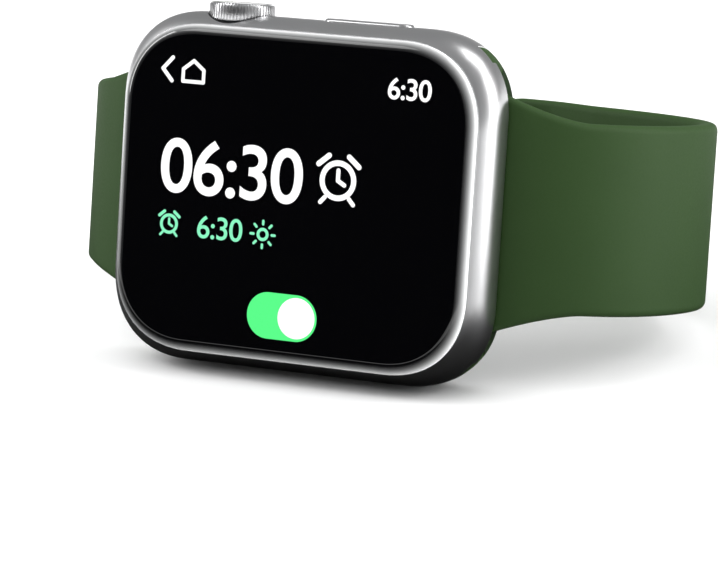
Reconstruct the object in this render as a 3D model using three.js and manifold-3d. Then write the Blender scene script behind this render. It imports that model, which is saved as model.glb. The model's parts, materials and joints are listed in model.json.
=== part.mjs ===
// A smartwatch lying on its side, closed band and all, in millimetres.
//
// Every piece is modelled in the case frame: +X runs from the 12 o'clock end of the
// case to the 6 o'clock end, +Y runs from the display to the wrist, and +Z points out
// of the side that carries the crown. The wrist face of the back crystal is Y = 0.
// The whole watch is then leaned back until the side of the case and the lower edge
// of the band both rest on Z = 0.

import * as THREE from "three";
import { mergeVertices } from "three/addons/utils/BufferGeometryUtils.js";
import Module from "manifold-3d";

const wasm = await Module();
wasm.setup();

// ---------------------------------------------------------------- driving dimensions

// The steel wall's front edge, half its length and width, how far the wall bulges beyond it,
// and the slope at which the bulge starts.
const FRONT_HALF_X = 21.9;
const FRONT_HALF_Z = 18.5;
const BULGE_X = 1.4;
const BULGE_Z = 1.3;
const BULGE_START = Math.PI / 5;
const CASE_WIDTH = 2 * (FRONT_HALF_Z + BULGE_Z);
const CASE_DEPTH = 10.7;
const CORNER_RADIUS = 9.8;
const CORNER_EXPONENT = 2.3;

const BAND_THICKNESS = 2.2;
const BAND_HALF_WIDTH = 10.6;
const LUG_HALF_WIDTH = 13.6;
const LOOP_REAR = 38.5;
const GAP = 0.2;

// Depths along Y, from the display towards the wrist.
const GLASS_FRONT = -CASE_DEPTH;
const GLASS_RIM = GLASS_FRONT + 1.1;
const CASE_FRONT = GLASS_RIM + GAP;
const SEAT = CASE_FRONT + 1.4;
const BELT_FRONT = -6.1;
const BELT_REAR = -5.6;
const LEDGE_FRONT = -2.7;
const LEDGE_REAR = -1.9;
const CASE_REAR = -0.9;

// Insets of the glass from the wall's front edge, and of the wall's wrist edge.
const RIM_INSET = 0.25;
const REAR_INSET = 1.65;
const GLASS_ROUND = 1.27;

// Inner room of the case.
const CAVITY_HALF_X = 18.3;
const CAVITY_HALF_Z = 16.3;

// Side controls, on the +Z side.
const CONTROL_Y = -5.35;
const CROWN_X = -10;
const CROWN_RADIUS = 3.7;
const CROWN_TOP = CASE_WIDTH / 2 + 1.2;
const CROWN_FLOOR = CASE_WIDTH / 2 - 1.2;
const CROWN_TEETH = 40;
const BUTTON_X = 6;
const BUTTON_HALF_LENGTH = 5.4;
const BUTTON_HALF_WIDTH = 1.3;
const BUTTON_TOP = CASE_WIDTH / 2 + 0.25;

// Band channel, cut across each end of the case.
const CHANNEL = { near: 19.4, far: 21.3, front: -5.6, rear: -2.2 };
const NECK = { front: -4.7, rear: -2.5 };
const LATCH_X = 20.35;

// ---------------------------------------------------------------- materials

/** One surface finish, as a standard material. */
function finish(color, roughness, metalness) {
  return new THREE.MeshStandardMaterial({ color, roughness, metalness });
}

const POLISHED_STEEL = finish("#c9cacb", 0.12, 1);
const BLACK_GLASS = finish("#08090a", 0.06, 0);
const BLACK_CERAMIC = finish("#15161a", 0.15, 0);
const GREEN_RUBBER = finish("#45603f", 0.62, 0);
const SEAL_RUBBER = finish("#1b1b1c", 0.8, 0);
const DARK_PLASTIC = finish("#26282a", 0.55, 0);
const CIRCUIT_BOARD = finish("#16281d", 0.5, 0);
const BATTERY_WRAP = finish("#2b2d30", 0.45, 0);
const COPPER = finish("#b87040", 0.35, 1);
const BRASS = finish("#c2a25c", 0.3, 1);
const SPRING_STEEL = finish("#a9abad", 0.3, 1);

// ---------------------------------------------------------------- solids

/** A three.js geometry as a manifold solid. */
function solid(geometry) {
  const bare = geometry.clone();
  bare.deleteAttribute("normal");
  bare.deleteAttribute("uv");
  const merged = mergeVertices(bare, 1e-5);
  const mesh = new wasm.Mesh({
    numProp: 3,
    vertProperties: new Float32Array(merged.attributes.position.array),
    triVerts: new Uint32Array(merged.index.array),
  });
  return new wasm.Manifold(mesh);
}

/** A manifold solid as a three.js geometry. */
function geometryOf(body) {
  const mesh = body.getMesh();
  const geometry = new THREE.BufferGeometry();
  geometry.setAttribute("position", new THREE.BufferAttribute(mesh.vertProperties, 3));
  geometry.setIndex(new THREE.BufferAttribute(mesh.triVerts, 1));
  geometry.computeVertexNormals();
  return geometry;
}

/** What is left of a solid once every tool is cut away. */
function cut(body, ...tools) {
  return tools.reduce((rest, tool) => rest.subtract(tool), body);
}

/** Several solids joined into one. */
function join(first, ...others) {
  return others.reduce((whole, other) => whole.add(other), first);
}

/** A box given by its lower and upper corners. */
function block([x0, y0, z0], [x1, y1, z1]) {
  const geometry = new THREE.BoxGeometry(x1 - x0, y1 - y0, z1 - z0);
  geometry.translate((x0 + x1) / 2, (y0 + y1) / 2, (z0 + z1) / 2);
  return solid(geometry);
}

/** A rectangle with soft corners, in X and Z. */
function softRectangle(halfX, halfZ, radius, steps = 9) {
  const points = [];
  for (let corner = 0; corner < 4; corner += 1) {
    const signX = corner === 0 || corner === 3 ? 1 : -1;
    const signZ = corner < 2 ? 1 : -1;
    for (let step = 0; step <= steps; step += 1) {
      const turn = corner % 2 === 0 ? step / steps : 1 - step / steps;
      const angle = (turn * Math.PI) / 2;
      const x = halfX - radius + radius * Math.cos(angle) ** (2 / CORNER_EXPONENT);
      const z = halfZ - radius + radius * Math.sin(angle) ** (2 / CORNER_EXPONENT);
      points.push(new THREE.Vector2(signX * x, signZ * z));
    }
  }
  return new THREE.Shape(points);
}

/** The outline of the steel wall, drawn in by an inset: bulge 0 at its front edge, 1 at its widest. */
function wallOutline(bulge, inset) {
  const halfX = FRONT_HALF_X + BULGE_X * bulge - inset;
  const halfZ = FRONT_HALF_Z + BULGE_Z * bulge - inset;
  return softRectangle(halfX, halfZ, CORNER_RADIUS - inset);
}

/** A slot outline with round ends, long in its first direction. */
function pill(centre, halfLength, halfWidth) {
  const shape = new THREE.Shape();
  const reach = halfLength - halfWidth;
  shape.absarc(centre + reach, 0, halfWidth, -Math.PI / 2, Math.PI / 2);
  shape.absarc(centre - reach, 0, halfWidth, Math.PI / 2, (3 * Math.PI) / 2);
  return shape;
}

/** A shape in X and Z, extruded in depth from front to rear, its edges rounded. */
function plate(shape, front, rear, roundSize = 0, roundDepth = roundSize, segments = 4) {
  const geometry = new THREE.ExtrudeGeometry(shape, {
    depth: rear - front - 2 * roundDepth,
    curveSegments: 6,
    bevelEnabled: roundSize > 0,
    bevelSize: roundSize,
    bevelOffset: -roundSize,
    bevelThickness: roundDepth,
    bevelSegments: segments,
  });
  geometry.rotateX(Math.PI / 2);
  geometry.translate(0, rear - roundDepth, 0);
  return solid(geometry);
}

/** A shape in X and Y, extruded along Z from low to high, its edges rounded. */
function upright(shape, low, high, roundSize = 0) {
  const geometry = new THREE.ExtrudeGeometry(shape, {
    depth: high - low - 2 * roundSize,
    curveSegments: 6,
    bevelEnabled: roundSize > 0,
    bevelSize: roundSize,
    bevelOffset: -roundSize,
    bevelThickness: roundSize,
    bevelSegments: 2,
  });
  geometry.translate(0, 0, low + roundSize);
  return solid(geometry);
}

/** A profile of radius and height turned about an axis along Y. */
function turnedAboutY(profile, x, z, segments = 32) {
  const points = profile.map(([radius, height]) => new THREE.Vector2(radius, height));
  const geometry = new THREE.LatheGeometry(points, segments);
  geometry.translate(x, 0, z);
  return solid(geometry);
}

/** A profile of radius and height turned about an axis along Z. */
function turnedAboutZ(profile, x, y, segments = 32) {
  const points = profile.map(([radius, height]) => new THREE.Vector2(radius, height));
  const geometry = new THREE.LatheGeometry(points, segments);
  geometry.rotateX(Math.PI / 2);
  geometry.translate(x, y, 0);
  return solid(geometry);
}

/** The profile of a plain disc or pin. */
function rodProfile(radius, low, high) {
  return [[0, low], [radius, low], [radius, high], [0, high]];
}

/** The closed profile of a plain tube. */
function tubeProfile(inner, outer, low, high) {
  return [[inner, low], [outer, low], [outer, high], [inner, high], [inner, low]];
}

/** The closed profile of an O-ring. */
function ringProfile(radius, section, height) {
  const points = [];
  for (let step = 0; step <= 8; step += 1) {
    const angle = (step * Math.PI) / 4;
    points.push([radius + section * Math.cos(angle), height + section * Math.sin(angle)]);
  }
  points[8] = [...points[0]];
  return points;
}

const nodes = [];

/** Names a finished solid and gives it its material. */
function node(name, body, material) {
  const mesh = new THREE.Mesh(geometryOf(body), material);
  mesh.name = name;
  nodes.push(mesh);
}

// ---------------------------------------------------------------- case

/** Depth, bulge and inset of the steel wall's levels, from its front edge to its wrist edge. */
function wallLevels() {
  const levels = [];
  const [sine, cosine] = [Math.sin(BULGE_START), Math.cos(BULGE_START)];
  for (let step = 0; step <= 5; step += 1) {
    const angle = BULGE_START + (step / 5) * (Math.PI / 2 - BULGE_START);
    const depth = BELT_FRONT + (CASE_FRONT - BELT_FRONT) * (Math.cos(angle) / cosine);
    levels.push({ depth, bulge: (Math.sin(angle) - sine) / (1 - sine), inset: 0 });
  }
  for (let step = 0; step <= 6; step += 1) {
    const angle = (step * Math.PI) / 12;
    const depth = BELT_REAR + (CASE_REAR - BELT_REAR) * Math.sin(angle);
    levels.push({ depth, bulge: 1, inset: REAR_INSET * (1 - Math.cos(angle)) });
  }
  return levels;
}

/** The steel block, rounded from the glass to the wrist, drawn in all round by a margin. */
function caseBlank(margin = 0) {
  const points = wallLevels().flatMap(({ depth, bulge, inset }) => {
    const outline = wallOutline(bulge, inset + margin).getPoints();
    return outline.map(({ x, y }) => [x, depth, y]);
  });
  return wasm.Manifold.hull(points);
}

/** The band channel at one end: a wide chamber behind a narrower mouth. */
function bandChannel(end) {
  const [x0, x1] = [end * CHANNEL.near, end * CHANNEL.far].sort((a, b) => a - b);
  const [m0, m1] = [end * (CHANNEL.far - 0.1), end * 24].sort((a, b) => a - b);
  const chamber = block([x0, CHANNEL.front, -20], [x1, CHANNEL.rear, 20]);
  const mouth = block([m0, NECK.front, -20], [m1, NECK.rear, 20]);
  return join(chamber, mouth);
}

/** The hole in the wrist side of the case through which one band latch is released. */
function releaseHole(end) {
  return uprightPill(1.9, 0.5, -3, 1).translate([end * LATCH_X, 0, 0]);
}

/** A pill long in Z, extruded in depth from front to rear. */
function uprightPill(halfLength, halfWidth, front, rear) {
  return plate(pill(0, halfLength, halfWidth), front, rear).rotate([0, 90, 0]);
}

/** A pill long in X, extruded along Z at the depth of the side controls. */
function sidePill(centre, halfLength, halfWidth, low, high, roundSize = 0) {
  return upright(pill(centre, halfLength, halfWidth), low, high, roundSize)
    .translate([0, CONTROL_Y, 0]);
}

/** Where the four screws of the logic board stand. */
const SCREW_PLACES = [[16.2, 8], [-16.2, 8], [-16.2, -8], [16.2, -8]];

/** The case with every pocket, channel and hole cut. */
function caseBody() {
  const pocket = plate(softRectangle(21, 17.5, 9), CASE_FRONT - 2, SEAT);
  const cavity = plate(softRectangle(CAVITY_HALF_X, CAVITY_HALF_Z, 7.5), SEAT - 1, LEDGE_FRONT);
  const window = plate(softRectangle(15.2, 11.7, 5), LEDGE_FRONT - 1, LEDGE_REAR + 1);
  const backRecess = plate(softRectangle(18.5, 15, 8), LEDGE_REAR, 2);
  const crownBore = turnedAboutZ(rodProfile(2.2, 15, 21), CROWN_X, CONTROL_Y);
  const crownSeat = turnedAboutZ(rodProfile(CROWN_RADIUS + GAP, CROWN_FLOOR, 23), CROWN_X, CONTROL_Y, 48);
  const buttonSeat = sidePill(BUTTON_X, BUTTON_HALF_LENGTH + 0.25, BUTTON_HALF_WIDTH + 0.25, 17.3, 21);
  const buttonBore = turnedAboutZ(rodProfile(0.85, 15, 18), BUTTON_X, CONTROL_Y, 16);
  const microphoneHole = turnedAboutZ(rodProfile(0.35, 15, 21), -3, CONTROL_Y, 12);
  const speakerSlots = [6, 12.5].map((x) => sidePill(x, 2.6, 0.5, -21, -15));
  const screwHoles = SCREW_PLACES.map(([x, z]) => turnedAboutY(rodProfile(0.65, -3, -1), x, z, 12));
  return cut(
    caseBlank(), pocket, cavity, window, backRecess, crownBore, crownSeat, buttonSeat, buttonBore,
    microphoneHole, ...speakerSlots, ...screwHoles,
    bandChannel(1), bandChannel(-1), releaseHole(1), releaseHole(-1),
  );
}

/** The display glass: flat in front, its edge rounded over, with a plug that fits the case. */
function coverGlass() {
  const half = plate(wallOutline(0, RIM_INSET), GLASS_FRONT, GLASS_FRONT + 4, GLASS_ROUND, 1.1, 5);
  const front = half.intersect(block([-30, GLASS_FRONT - 1, -30], [30, GLASS_RIM, 30]));
  const plug = plate(softRectangle(20.8, 17.3, 8.8), GLASS_RIM - 0.1, GLASS_RIM + 0.4);
  return join(front, plug);
}

/** A flat ring between two soft rectangles. */
function ringPlate(outer, inner, front, rear) {
  const hole = plate(softRectangle(...inner), front - 1, rear + 1);
  return plate(softRectangle(...outer), front, rear).subtract(hole);
}

/** The ribbon that carries the display's signals round to the logic board. */
function displayRibbon() {
  const route = new THREE.Shape();
  route.moveTo(-7.6, -11.8);
  route.lineTo(-7.6, -13.8);
  route.bezierCurveTo(-7.6, -15.8, -4.2, -15.8, -4.2, -13.8);
  route.lineTo(-4.2, -11.8);
  route.lineTo(-4.4, -11.8);
  route.lineTo(-4.4, -13.8);
  route.bezierCurveTo(-4.4, -15.5, -7.4, -15.5, -7.4, -13.8);
  route.lineTo(-7.4, -11.8);
  const geometry = new THREE.ExtrudeGeometry(route, { depth: 5, curveSegments: 8, bevelEnabled: false });
  geometry.applyMatrix4(new THREE.Matrix4().set(0, 0, 1, -4.5, 1, 0, 0, 0, 0, 1, 0, 0, 0, 0, 0, 1));
  return solid(geometry);
}

/** The display, its seal and its ribbon. */
function addFront() {
  node("case", caseBody(), POLISHED_STEEL);
  node("cover_glass", coverGlass(), BLACK_GLASS);
  node("display_gasket", ringPlate([20.7, 17.2, 8.7], [19.9, 16.4, 7.9], -9, -8.2), SEAL_RUBBER);
  node("display_panel", plate(softRectangle(19.5, 16, 7.5), -9, -8.2), BLACK_GLASS);
  node("display_ribbon", displayRibbon(), COPPER);
}

// ---------------------------------------------------------------- wrist side

/** The domed crystal over the sensors, flat in the middle where a charger rests. */
function backCrystal() {
  const profile = [
    [0, -1.5], [12.7, -1.5], [13, -1.2], [13, -0.9], [11.6, -0.5], [9.6, -0.16], [7.5, 0], [0, 0],
  ];
  return turnedAboutY(profile, 0, 0, 48);
}

/** The wrist side: cover, crystal, seal, sensors and charging coil. */
function addBack() {
  const opening = turnedAboutY(rodProfile(13.2, -3, 1), 0, 0, 48);
  const cover = plate(softRectangle(18.3, 14.8, 7.8), -1.5, CASE_REAR).subtract(opening);
  node("back_cover", cover, BLACK_CERAMIC);
  node("back_crystal", backCrystal(), BLACK_CERAMIC);
  node("back_gasket", ringPlate([18.2, 14.7, 7.7], [16.4, 12.9, 6], -1.8, -1.6), SEAL_RUBBER);
  node("sensor_board", turnedAboutY(rodProfile(6.2, -2.5, -1.8), 0, 0), CIRCUIT_BOARD);
  node("charging_coil", turnedAboutY(tubeProfile(6.8, 11.2, -2.5, -1.8), 0, 0, 48), COPPER);
}

// ---------------------------------------------------------------- inside

/** One small screw, its head towards the display. */
function boardScrew(x, z) {
  const profile = [[0, -4.45], [0.9, -4.45], [0.9, -4.1], [0.4, -4.1], [0.4, -2.1], [0, -2.1]];
  return turnedAboutY(profile, x, z, 16);
}

/** Board, battery, motor, speaker and microphone. */
function addInside() {
  const boardHoles = SCREW_PLACES.map(([x, z]) => turnedAboutY(rodProfile(0.6, -5, -2), x, z, 12));
  const board = cut(plate(softRectangle(17.6, 14.2, 7), -3.9, -2.9), ...boardHoles);
  node("logic_board", board, CIRCUIT_BOARD);
  SCREW_PLACES.forEach(([x, z], place) => {
    node(`board_screw_${place + 1}`, boardScrew(x, z), SPRING_STEEL);
  });
  const cell = plate(softRectangle(11.4, 11.4, 1.5, 3), -7.6, -4.7);
  node("battery", cell.translate([6, 0, 0]), BATTERY_WRAP);
  node("haptic_motor", block([-16, -7.6, -12], [-6.2, -4.7, 8.5]), SPRING_STEEL);
  node("speaker", block([2.5, -7.4, -16], [15.5, -4.2, -12.2]).intersect(
    plate(softRectangle(17.9, 15.9, 7), -8, -4)), DARK_PLASTIC);
  node("microphone", block([-4.3, -6.5, 14.5], [-1.7, -4.3, 16]), BRASS);
}

// ---------------------------------------------------------------- crown and side button

/** The knurled outline of the crown. */
function knurledOutline() {
  const points = [];
  for (let tooth = 0; tooth < CROWN_TEETH; tooth += 1) {
    for (const [part, radius] of [[0, -0.14], [0.2, -0.14], [0.4, 0], [0.8, 0]]) {
      const angle = ((tooth + part) / CROWN_TEETH) * 2 * Math.PI;
      const reach = CROWN_RADIUS + radius;
      points.push(new THREE.Vector2(reach * Math.cos(angle), reach * Math.sin(angle)));
    }
  }
  return new THREE.Shape(points);
}

/** The crown's knob, with a socket for its shaft and a shallow dish for its cap. */
function crownKnob() {
  const base = CROWN_FLOOR + 0.35;
  const edge = CROWN_RADIUS - 0.3;
  const barrel = [
    [0, base], [edge, base], [4, base + 0.6], [4, CROWN_TOP - 0.6], [edge, CROWN_TOP], [0, CROWN_TOP],
  ];
  const knurls = upright(knurledOutline(), base - 1, CROWN_TOP + 1)
    .translate([CROWN_X, CONTROL_Y, 0])
    .intersect(turnedAboutZ(barrel, CROWN_X, CONTROL_Y, 40));
  const dish = turnedAboutZ(rodProfile(2.9, CROWN_TOP - 0.4, CROWN_TOP + 1), CROWN_X, CONTROL_Y);
  const socket = turnedAboutZ(rodProfile(1.1, CROWN_FLOOR, 19.9), CROWN_X, CONTROL_Y, 16);
  return cut(knurls, dish, socket);
}

/** A bracket folded from strip, open towards the side wall. */
function stripBracket(x0, x1, base, wall) {
  const outer = block([x0, -7, base], [x1, -4.15, wall]);
  return outer.subtract(block([x0 + 0.4, -8, base + 0.5], [x1 - 0.4, -3, wall + 1]));
}

/** The crown, which turns and presses, and what carries and reads it. */
function addCrown() {
  const sleeve = [[1.5, 15.5], [2.5, 15.5], [2.5, 16.1], [2, 16.1], [2, 18.4], [1.5, 18.4], [1.5, 15.5]];
  const shaft = [
    [0, 13.2], [0.9, 13.2], [0.9, 14.6], [1.6, 14.6], [1.6, 15.1], [0.9, 15.1], [0.9, 19.7], [0, 19.7],
  ];
  node("crown_knob", crownKnob(), POLISHED_STEEL);
  const cap = rodProfile(2.75, CROWN_TOP - 0.3, CROWN_TOP - 0.02);
  node("crown_cap", turnedAboutZ(cap, CROWN_X, CONTROL_Y), BLACK_CERAMIC);
  node("crown_shaft", turnedAboutZ(shaft, CROWN_X, CONTROL_Y, 20), SPRING_STEEL);
  node("crown_sleeve", turnedAboutZ(sleeve, CROWN_X, CONTROL_Y, 24), BRASS);
  [16.3, 17.5].forEach((height, place) => {
    const seal = turnedAboutZ(ringProfile(1.2, 0.22, height), CROWN_X, CONTROL_Y, 20);
    node(`crown_seal_${place + 1}`, seal, SEAL_RUBBER);
  });
  node("crown_pusher", block([-11.5, -6.4, 12.3], [-8.5, -4.3, 12.9]), DARK_PLASTIC);
  node("crown_switch", block([-11.8, -6.6, 10.6], [-8.2, -4.3, 11.9]), DARK_PLASTIC);
  node("crown_bracket", stripBracket(-13.6, -6.4, 9.8, 15.1), SPRING_STEEL);
}

/** The side button and the switch behind it. */
function addSideButton() {
  const pad = sidePill(BUTTON_X, BUTTON_HALF_LENGTH, BUTTON_HALF_WIDTH, 17.75, BUTTON_TOP, 0.25);
  const post = turnedAboutZ(rodProfile(0.55, 15.9, 18), BUTTON_X, CONTROL_Y, 16);
  node("side_button", join(pad, post), POLISHED_STEEL);
  node("side_button_switch", block([4.4, -6.6, 14.4], [7.6, -4.3, 15.5]), DARK_PLASTIC);
  node("side_button_bracket", stripBracket(0.8, 11.2, 13.5, 16), SPRING_STEEL);
}

// ---------------------------------------------------------------- band

/** The outside of the closed band seen along Z, from the 12 o'clock lug to the 6 o'clock lug. */
function loopCurve() {
  const at = (x, y) => new THREE.Vector2(x, y);
  const loop = new THREE.CurvePath();
  const start = CHANNEL.far - 0.05;
  const outer = -4.5;
  loop.add(new THREE.CubicBezierCurve(at(-start, outer), at(-31, outer), at(-34.8, 4.5), at(-34.8, 13)));
  loop.add(new THREE.CubicBezierCurve(
    at(-34.8, 13), at(-34.8, 28), at(-17, LOOP_REAR), at(0, LOOP_REAR)));
  loop.add(new THREE.CubicBezierCurve(at(0, LOOP_REAR), at(20, LOOP_REAR), at(38.8, 32), at(38.8, 15)));
  loop.add(new THREE.CubicBezierCurve(at(38.8, 15), at(38.8, 4), at(33, outer), at(start, outer)));
  return loop;
}

const LOOP = loopCurve();
const LOOP_LENGTH = LOOP.getLength();
const LOOP_MIDDLE = LOOP.getCurveLengths()[1];

/** A point beside the loop: along it in millimetres, and outwards from it. */
function besideLoop(along, outwards) {
  const share = Math.min(Math.max(along / LOOP_LENGTH, 0), 1);
  const point = LOOP.getPointAt(share);
  const direction = LOOP.getTangentAt(share);
  return new THREE.Vector2(point.x - direction.y * outwards, point.y + direction.x * outwards);
}

/** A smooth step from 0 to 1 between two places. */
function ease(from, to, at) {
  return THREE.MathUtils.smoothstep(at, from, to);
}

/** A strip of band seen along Z, between two places on the loop. */
function strip(from, to, steps, outwardsAt, thicknessAt) {
  const outside = [];
  const inside = [];
  for (let step = 0; step <= steps; step += 1) {
    const along = from + ((to - from) * step) / steps;
    const top = outwardsAt(along);
    outside.push(besideLoop(along, top));
    inside.unshift(besideLoop(along, top - thicknessAt(along)));
  }
  return new THREE.Shape([...outside, ...inside]);
}

/** How wide the band may be everywhere: flared at the lugs, even elsewhere. */
function widthMask() {
  const even = block([-45, 5, -BAND_HALF_WIDTH], [45, 45, BAND_HALF_WIDTH]);
  const flares = [1, -1].map((end) => {
    const flare = new THREE.Shape();
    const side = (sign) => [
      new THREE.Vector2(end * 20, sign * LUG_HALF_WIDTH),
      new THREE.Vector2(end * 23.8, sign * (LUG_HALF_WIDTH - 1.2)),
      new THREE.Vector2(end * 27, sign * BAND_HALF_WIDTH),
      new THREE.Vector2(end * 33, sign * BAND_HALF_WIDTH),
    ];
    const upper = new THREE.CubicBezierCurve(...side(1)).getPoints(8);
    const lower = new THREE.CubicBezierCurve(...side(-1)).getPoints(8).reverse();
    const tip = [1, -1].map((sign) => new THREE.Vector2(end * 42, sign * BAND_HALF_WIDTH));
    flare.setFromPoints([...upper, ...tip, ...lower]);
    return plate(flare, -8, 5.01);
  });
  return join(even, ...flares);
}

/** A round hole through the band at one place along the loop. */
function bandHole(along, radius, inner, outer) {
  const direction = LOOP.getTangentAt(along / LOOP_LENGTH);
  const centre = besideLoop(along, 0);
  const hole = turnedAboutY(rodProfile(radius, inner, outer), 0, 0, 16);
  const turn = THREE.MathUtils.radToDeg(Math.atan2(direction.y, direction.x));
  return hole.rotate([0, 0, turn]).translate([centre.x, centre.y, 0]);
}

const NECK_THICKNESS = 1.8;
const TUCK_THICKNESS = 1.7;
const LAYER_GAP = 0.3;

/** The band's thickness near a lug, which starts thin enough to pass the channel's mouth. */
function lugThickness(distance) {
  return NECK_THICKNESS + (BAND_THICKNESS - NECK_THICKNESS) * ease(2, 6, distance);
}

/** The 12 o'clock half: it carries the stud and the slot that the tail tucks into. */
function buckleHalf(mask) {
  const shape = strip(0, LOOP_MIDDLE + 7, 44, () => 0, lugThickness);
  const reach = BAND_HALF_WIDTH - 2;
  const slot = strip(LOOP_MIDDLE - 18, LOOP_MIDDLE - 4.5, 8, () => 2, () => 6);
  const studHole = bandHole(LOOP_MIDDLE, 2.1, -3, 1);
  const studRecess = bandHole(LOOP_MIDDLE, 3.7, -3, -BAND_THICKNESS + 0.7);
  const blank = upright(shape, -LUG_HALF_WIDTH, LUG_HALF_WIDTH).intersect(mask);
  return cut(blank, upright(slot, -reach, reach), studHole, studRecess);
}

/** How far the long half lies outside the loop, at one place along it. */
function tuckOffset(along) {
  const place = along - LOOP_MIDDLE;
  const over = TUCK_THICKNESS + LAYER_GAP;
  const under = -BAND_THICKNESS - LAYER_GAP;
  const lifted = over * (1 - ease(9, 18, place));
  return lifted + (under - over) * (1 - ease(-17, -5.5, place));
}

/** The 6 o'clock half: holed, laid over the stud and tucked inside through the slot. */
function strapHalf(mask) {
  const thicknessAt = (along) => {
    const tuck = 1 - ease(10, 20, along - LOOP_MIDDLE);
    return lugThickness(LOOP_LENGTH - along) - (BAND_THICKNESS - TUCK_THICKNESS) * tuck;
  };
  const shape = strip(LOOP_MIDDLE - 36, LOOP_LENGTH, 56, tuckOffset, thicknessAt);
  const tailMask = join(
    block([-45, 0, -8.2], [4, 45, 8.2]),
    block([3, -8, -LUG_HALF_WIDTH], [45, 45, LUG_HALF_WIDTH]),
  );
  const blank = upright(shape, -LUG_HALF_WIDTH, LUG_HALF_WIDTH).intersect(mask).intersect(tailMask);
  const holes = [-28, -21, 0, 7, 22].map((place) => bandHole(LOOP_MIDDLE + place, 2.1, -6, 4));
  return cut(blank, ...holes);
}

/** The bar at one end of the band, shaped to the corner of the case. */
function lugBar(end) {
  const [x0, x1] = [end * 19.6, end * 21.1].sort((a, b) => a - b);
  const bar = block([x0, -5.4, -CASE_WIDTH], [x1, -2.4, CASE_WIDTH]);
  const latchHole = uprightPill(1.9, 0.5, -5.1, -1).translate([end * LATCH_X, 0, 0]);
  return bar.intersect(caseBlank(RIM_INSET)).subtract(latchHole);
}

/** Band halves, lug bars, latches and the stud that closes the band. */
function addBand() {
  const mask = widthMask();
  node("band_buckle_half", buckleHalf(mask), GREEN_RUBBER);
  node("band_strap_half", strapHalf(mask), GREEN_RUBBER);
  const face = LOOP_REAR - BAND_THICKNESS;
  const stud = [
    [0, face + 0.05], [3.4, face + 0.05], [3.4, face + 0.55], [1.8, face + 0.55],
    [1.8, 40.9], [2.8, 40.9], [2.8, 41.4], [2.3, 41.7], [0, 41.7],
  ];
  node("band_stud", turnedAboutY(stud, 0, 0, 24), POLISHED_STEEL);
  for (const [name, end] of [["12", -1], ["6", 1]]) {
    node(`lug_${name}`, lugBar(end), GREEN_RUBBER);
    const pin = uprightPill(1.7, 0.35, -4.3, -2.45).translate([end * LATCH_X, 0, 0]);
    node(`latch_pin_${name}`, pin, SPRING_STEEL);
    const button = uprightPill(1.7, 0.35, -2.05, -1).translate([end * LATCH_X, 0, 0]);
    node(`release_button_${name}`, button, POLISHED_STEEL);
  }
}

// ---------------------------------------------------------------- assembly

addFront();
addBack();
addInside();
addCrown();
addSideButton();
addBand();

/** The lean at which the edge of the band and one level of the wall are equally low. */
function leanAtLevel({ depth, inset }) {
  const edgeOfBand = { depth: LOOP_REAR, height: -BAND_HALF_WIDTH };
  const height = inset - CASE_WIDTH / 2;
  return Math.atan2(edgeOfBand.height - height, edgeOfBand.depth - depth);
}

// The watch lies on the wrist-side rounding of its case and on the back of its band.
const restingLevels = wallLevels().filter(({ bulge }) => bulge === 1);
const lean = Math.max(...restingLevels.map(leanAtLevel));

const watch = new THREE.Group();
watch.add(...nodes);
watch.rotation.x = -lean;

const model = new THREE.Group();
model.add(watch);
model.updateMatrixWorld(true);
const box = new THREE.Box3().setFromObject(model, true);
const centre = box.getCenter(new THREE.Vector3());
watch.position.set(-centre.x, -centre.y, -box.min.z);

export default model;
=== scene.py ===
"""The finished look of a smartwatch that lies on its side: housing, glass, crown, band and light.

Every piece is modelled in the case frame, in millimetres: +X from the 12 o'clock end of the
case to its 6 o'clock end, +Y from the display to the wrist, +Z out of the crown side, with the
wrist face of the back crystal at Y = 0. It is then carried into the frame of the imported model.
"""

import json
import logging
import math
from collections.abc import Callable, Iterable, Sequence
from dataclasses import dataclass
from enum import Enum

import bmesh
import bpy
from mathutils import Matrix, Vector
from mathutils.geometry import interpolate_bezier


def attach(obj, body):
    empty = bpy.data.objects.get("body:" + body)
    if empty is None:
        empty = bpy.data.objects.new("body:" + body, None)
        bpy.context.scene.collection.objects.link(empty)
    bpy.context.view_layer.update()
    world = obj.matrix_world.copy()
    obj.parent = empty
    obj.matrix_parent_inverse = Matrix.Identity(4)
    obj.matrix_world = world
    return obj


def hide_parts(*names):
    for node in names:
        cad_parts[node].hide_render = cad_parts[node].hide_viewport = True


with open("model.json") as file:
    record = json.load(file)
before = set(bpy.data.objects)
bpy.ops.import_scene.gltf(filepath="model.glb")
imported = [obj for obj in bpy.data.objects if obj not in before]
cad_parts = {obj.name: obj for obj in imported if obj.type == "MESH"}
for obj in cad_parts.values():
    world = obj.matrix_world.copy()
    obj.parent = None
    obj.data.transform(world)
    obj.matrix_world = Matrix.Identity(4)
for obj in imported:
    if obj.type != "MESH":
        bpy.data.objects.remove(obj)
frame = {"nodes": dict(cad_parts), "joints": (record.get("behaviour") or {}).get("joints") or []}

LOG = logging.getLogger("smartwatch")
MM = 0.001

# The driving sizes of the case, in millimetres, as the CAD model has them: the wall's front
# edge, how far the wall bulges beyond it, and the slope at which the bulge starts.
FRONT_HALF_X = 21.9
FRONT_HALF_Z = 18.5
BULGE_X = 1.4
BULGE_Z = 1.3
BULGE_START = math.pi / 5
CASE_DEPTH = 10.7
CORNER_RADIUS = 9.8
CORNER_EXPONENT = 2.3

# Where the controls and the latches stand.
CONTROL_DEPTH = -5.35
CROWN_X = -10.0
CROWN_ANCHOR_Z = 18.0
BUTTON_X = 6.0
LATCH_X = 20.35

# How far cutters and blanks reach so that they pass right through the case's sides.
THROUGH = 22.0

# Points of a cut mesh closer than this are one, and thinner slivers are dissolved.
MERGE = 0.003
SLIVER = 0.002


class Along(Enum):
    """The direction in which an outline is drawn out."""

    DEPTH = "depth"
    CROWN_SIDE = "crown side"


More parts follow.
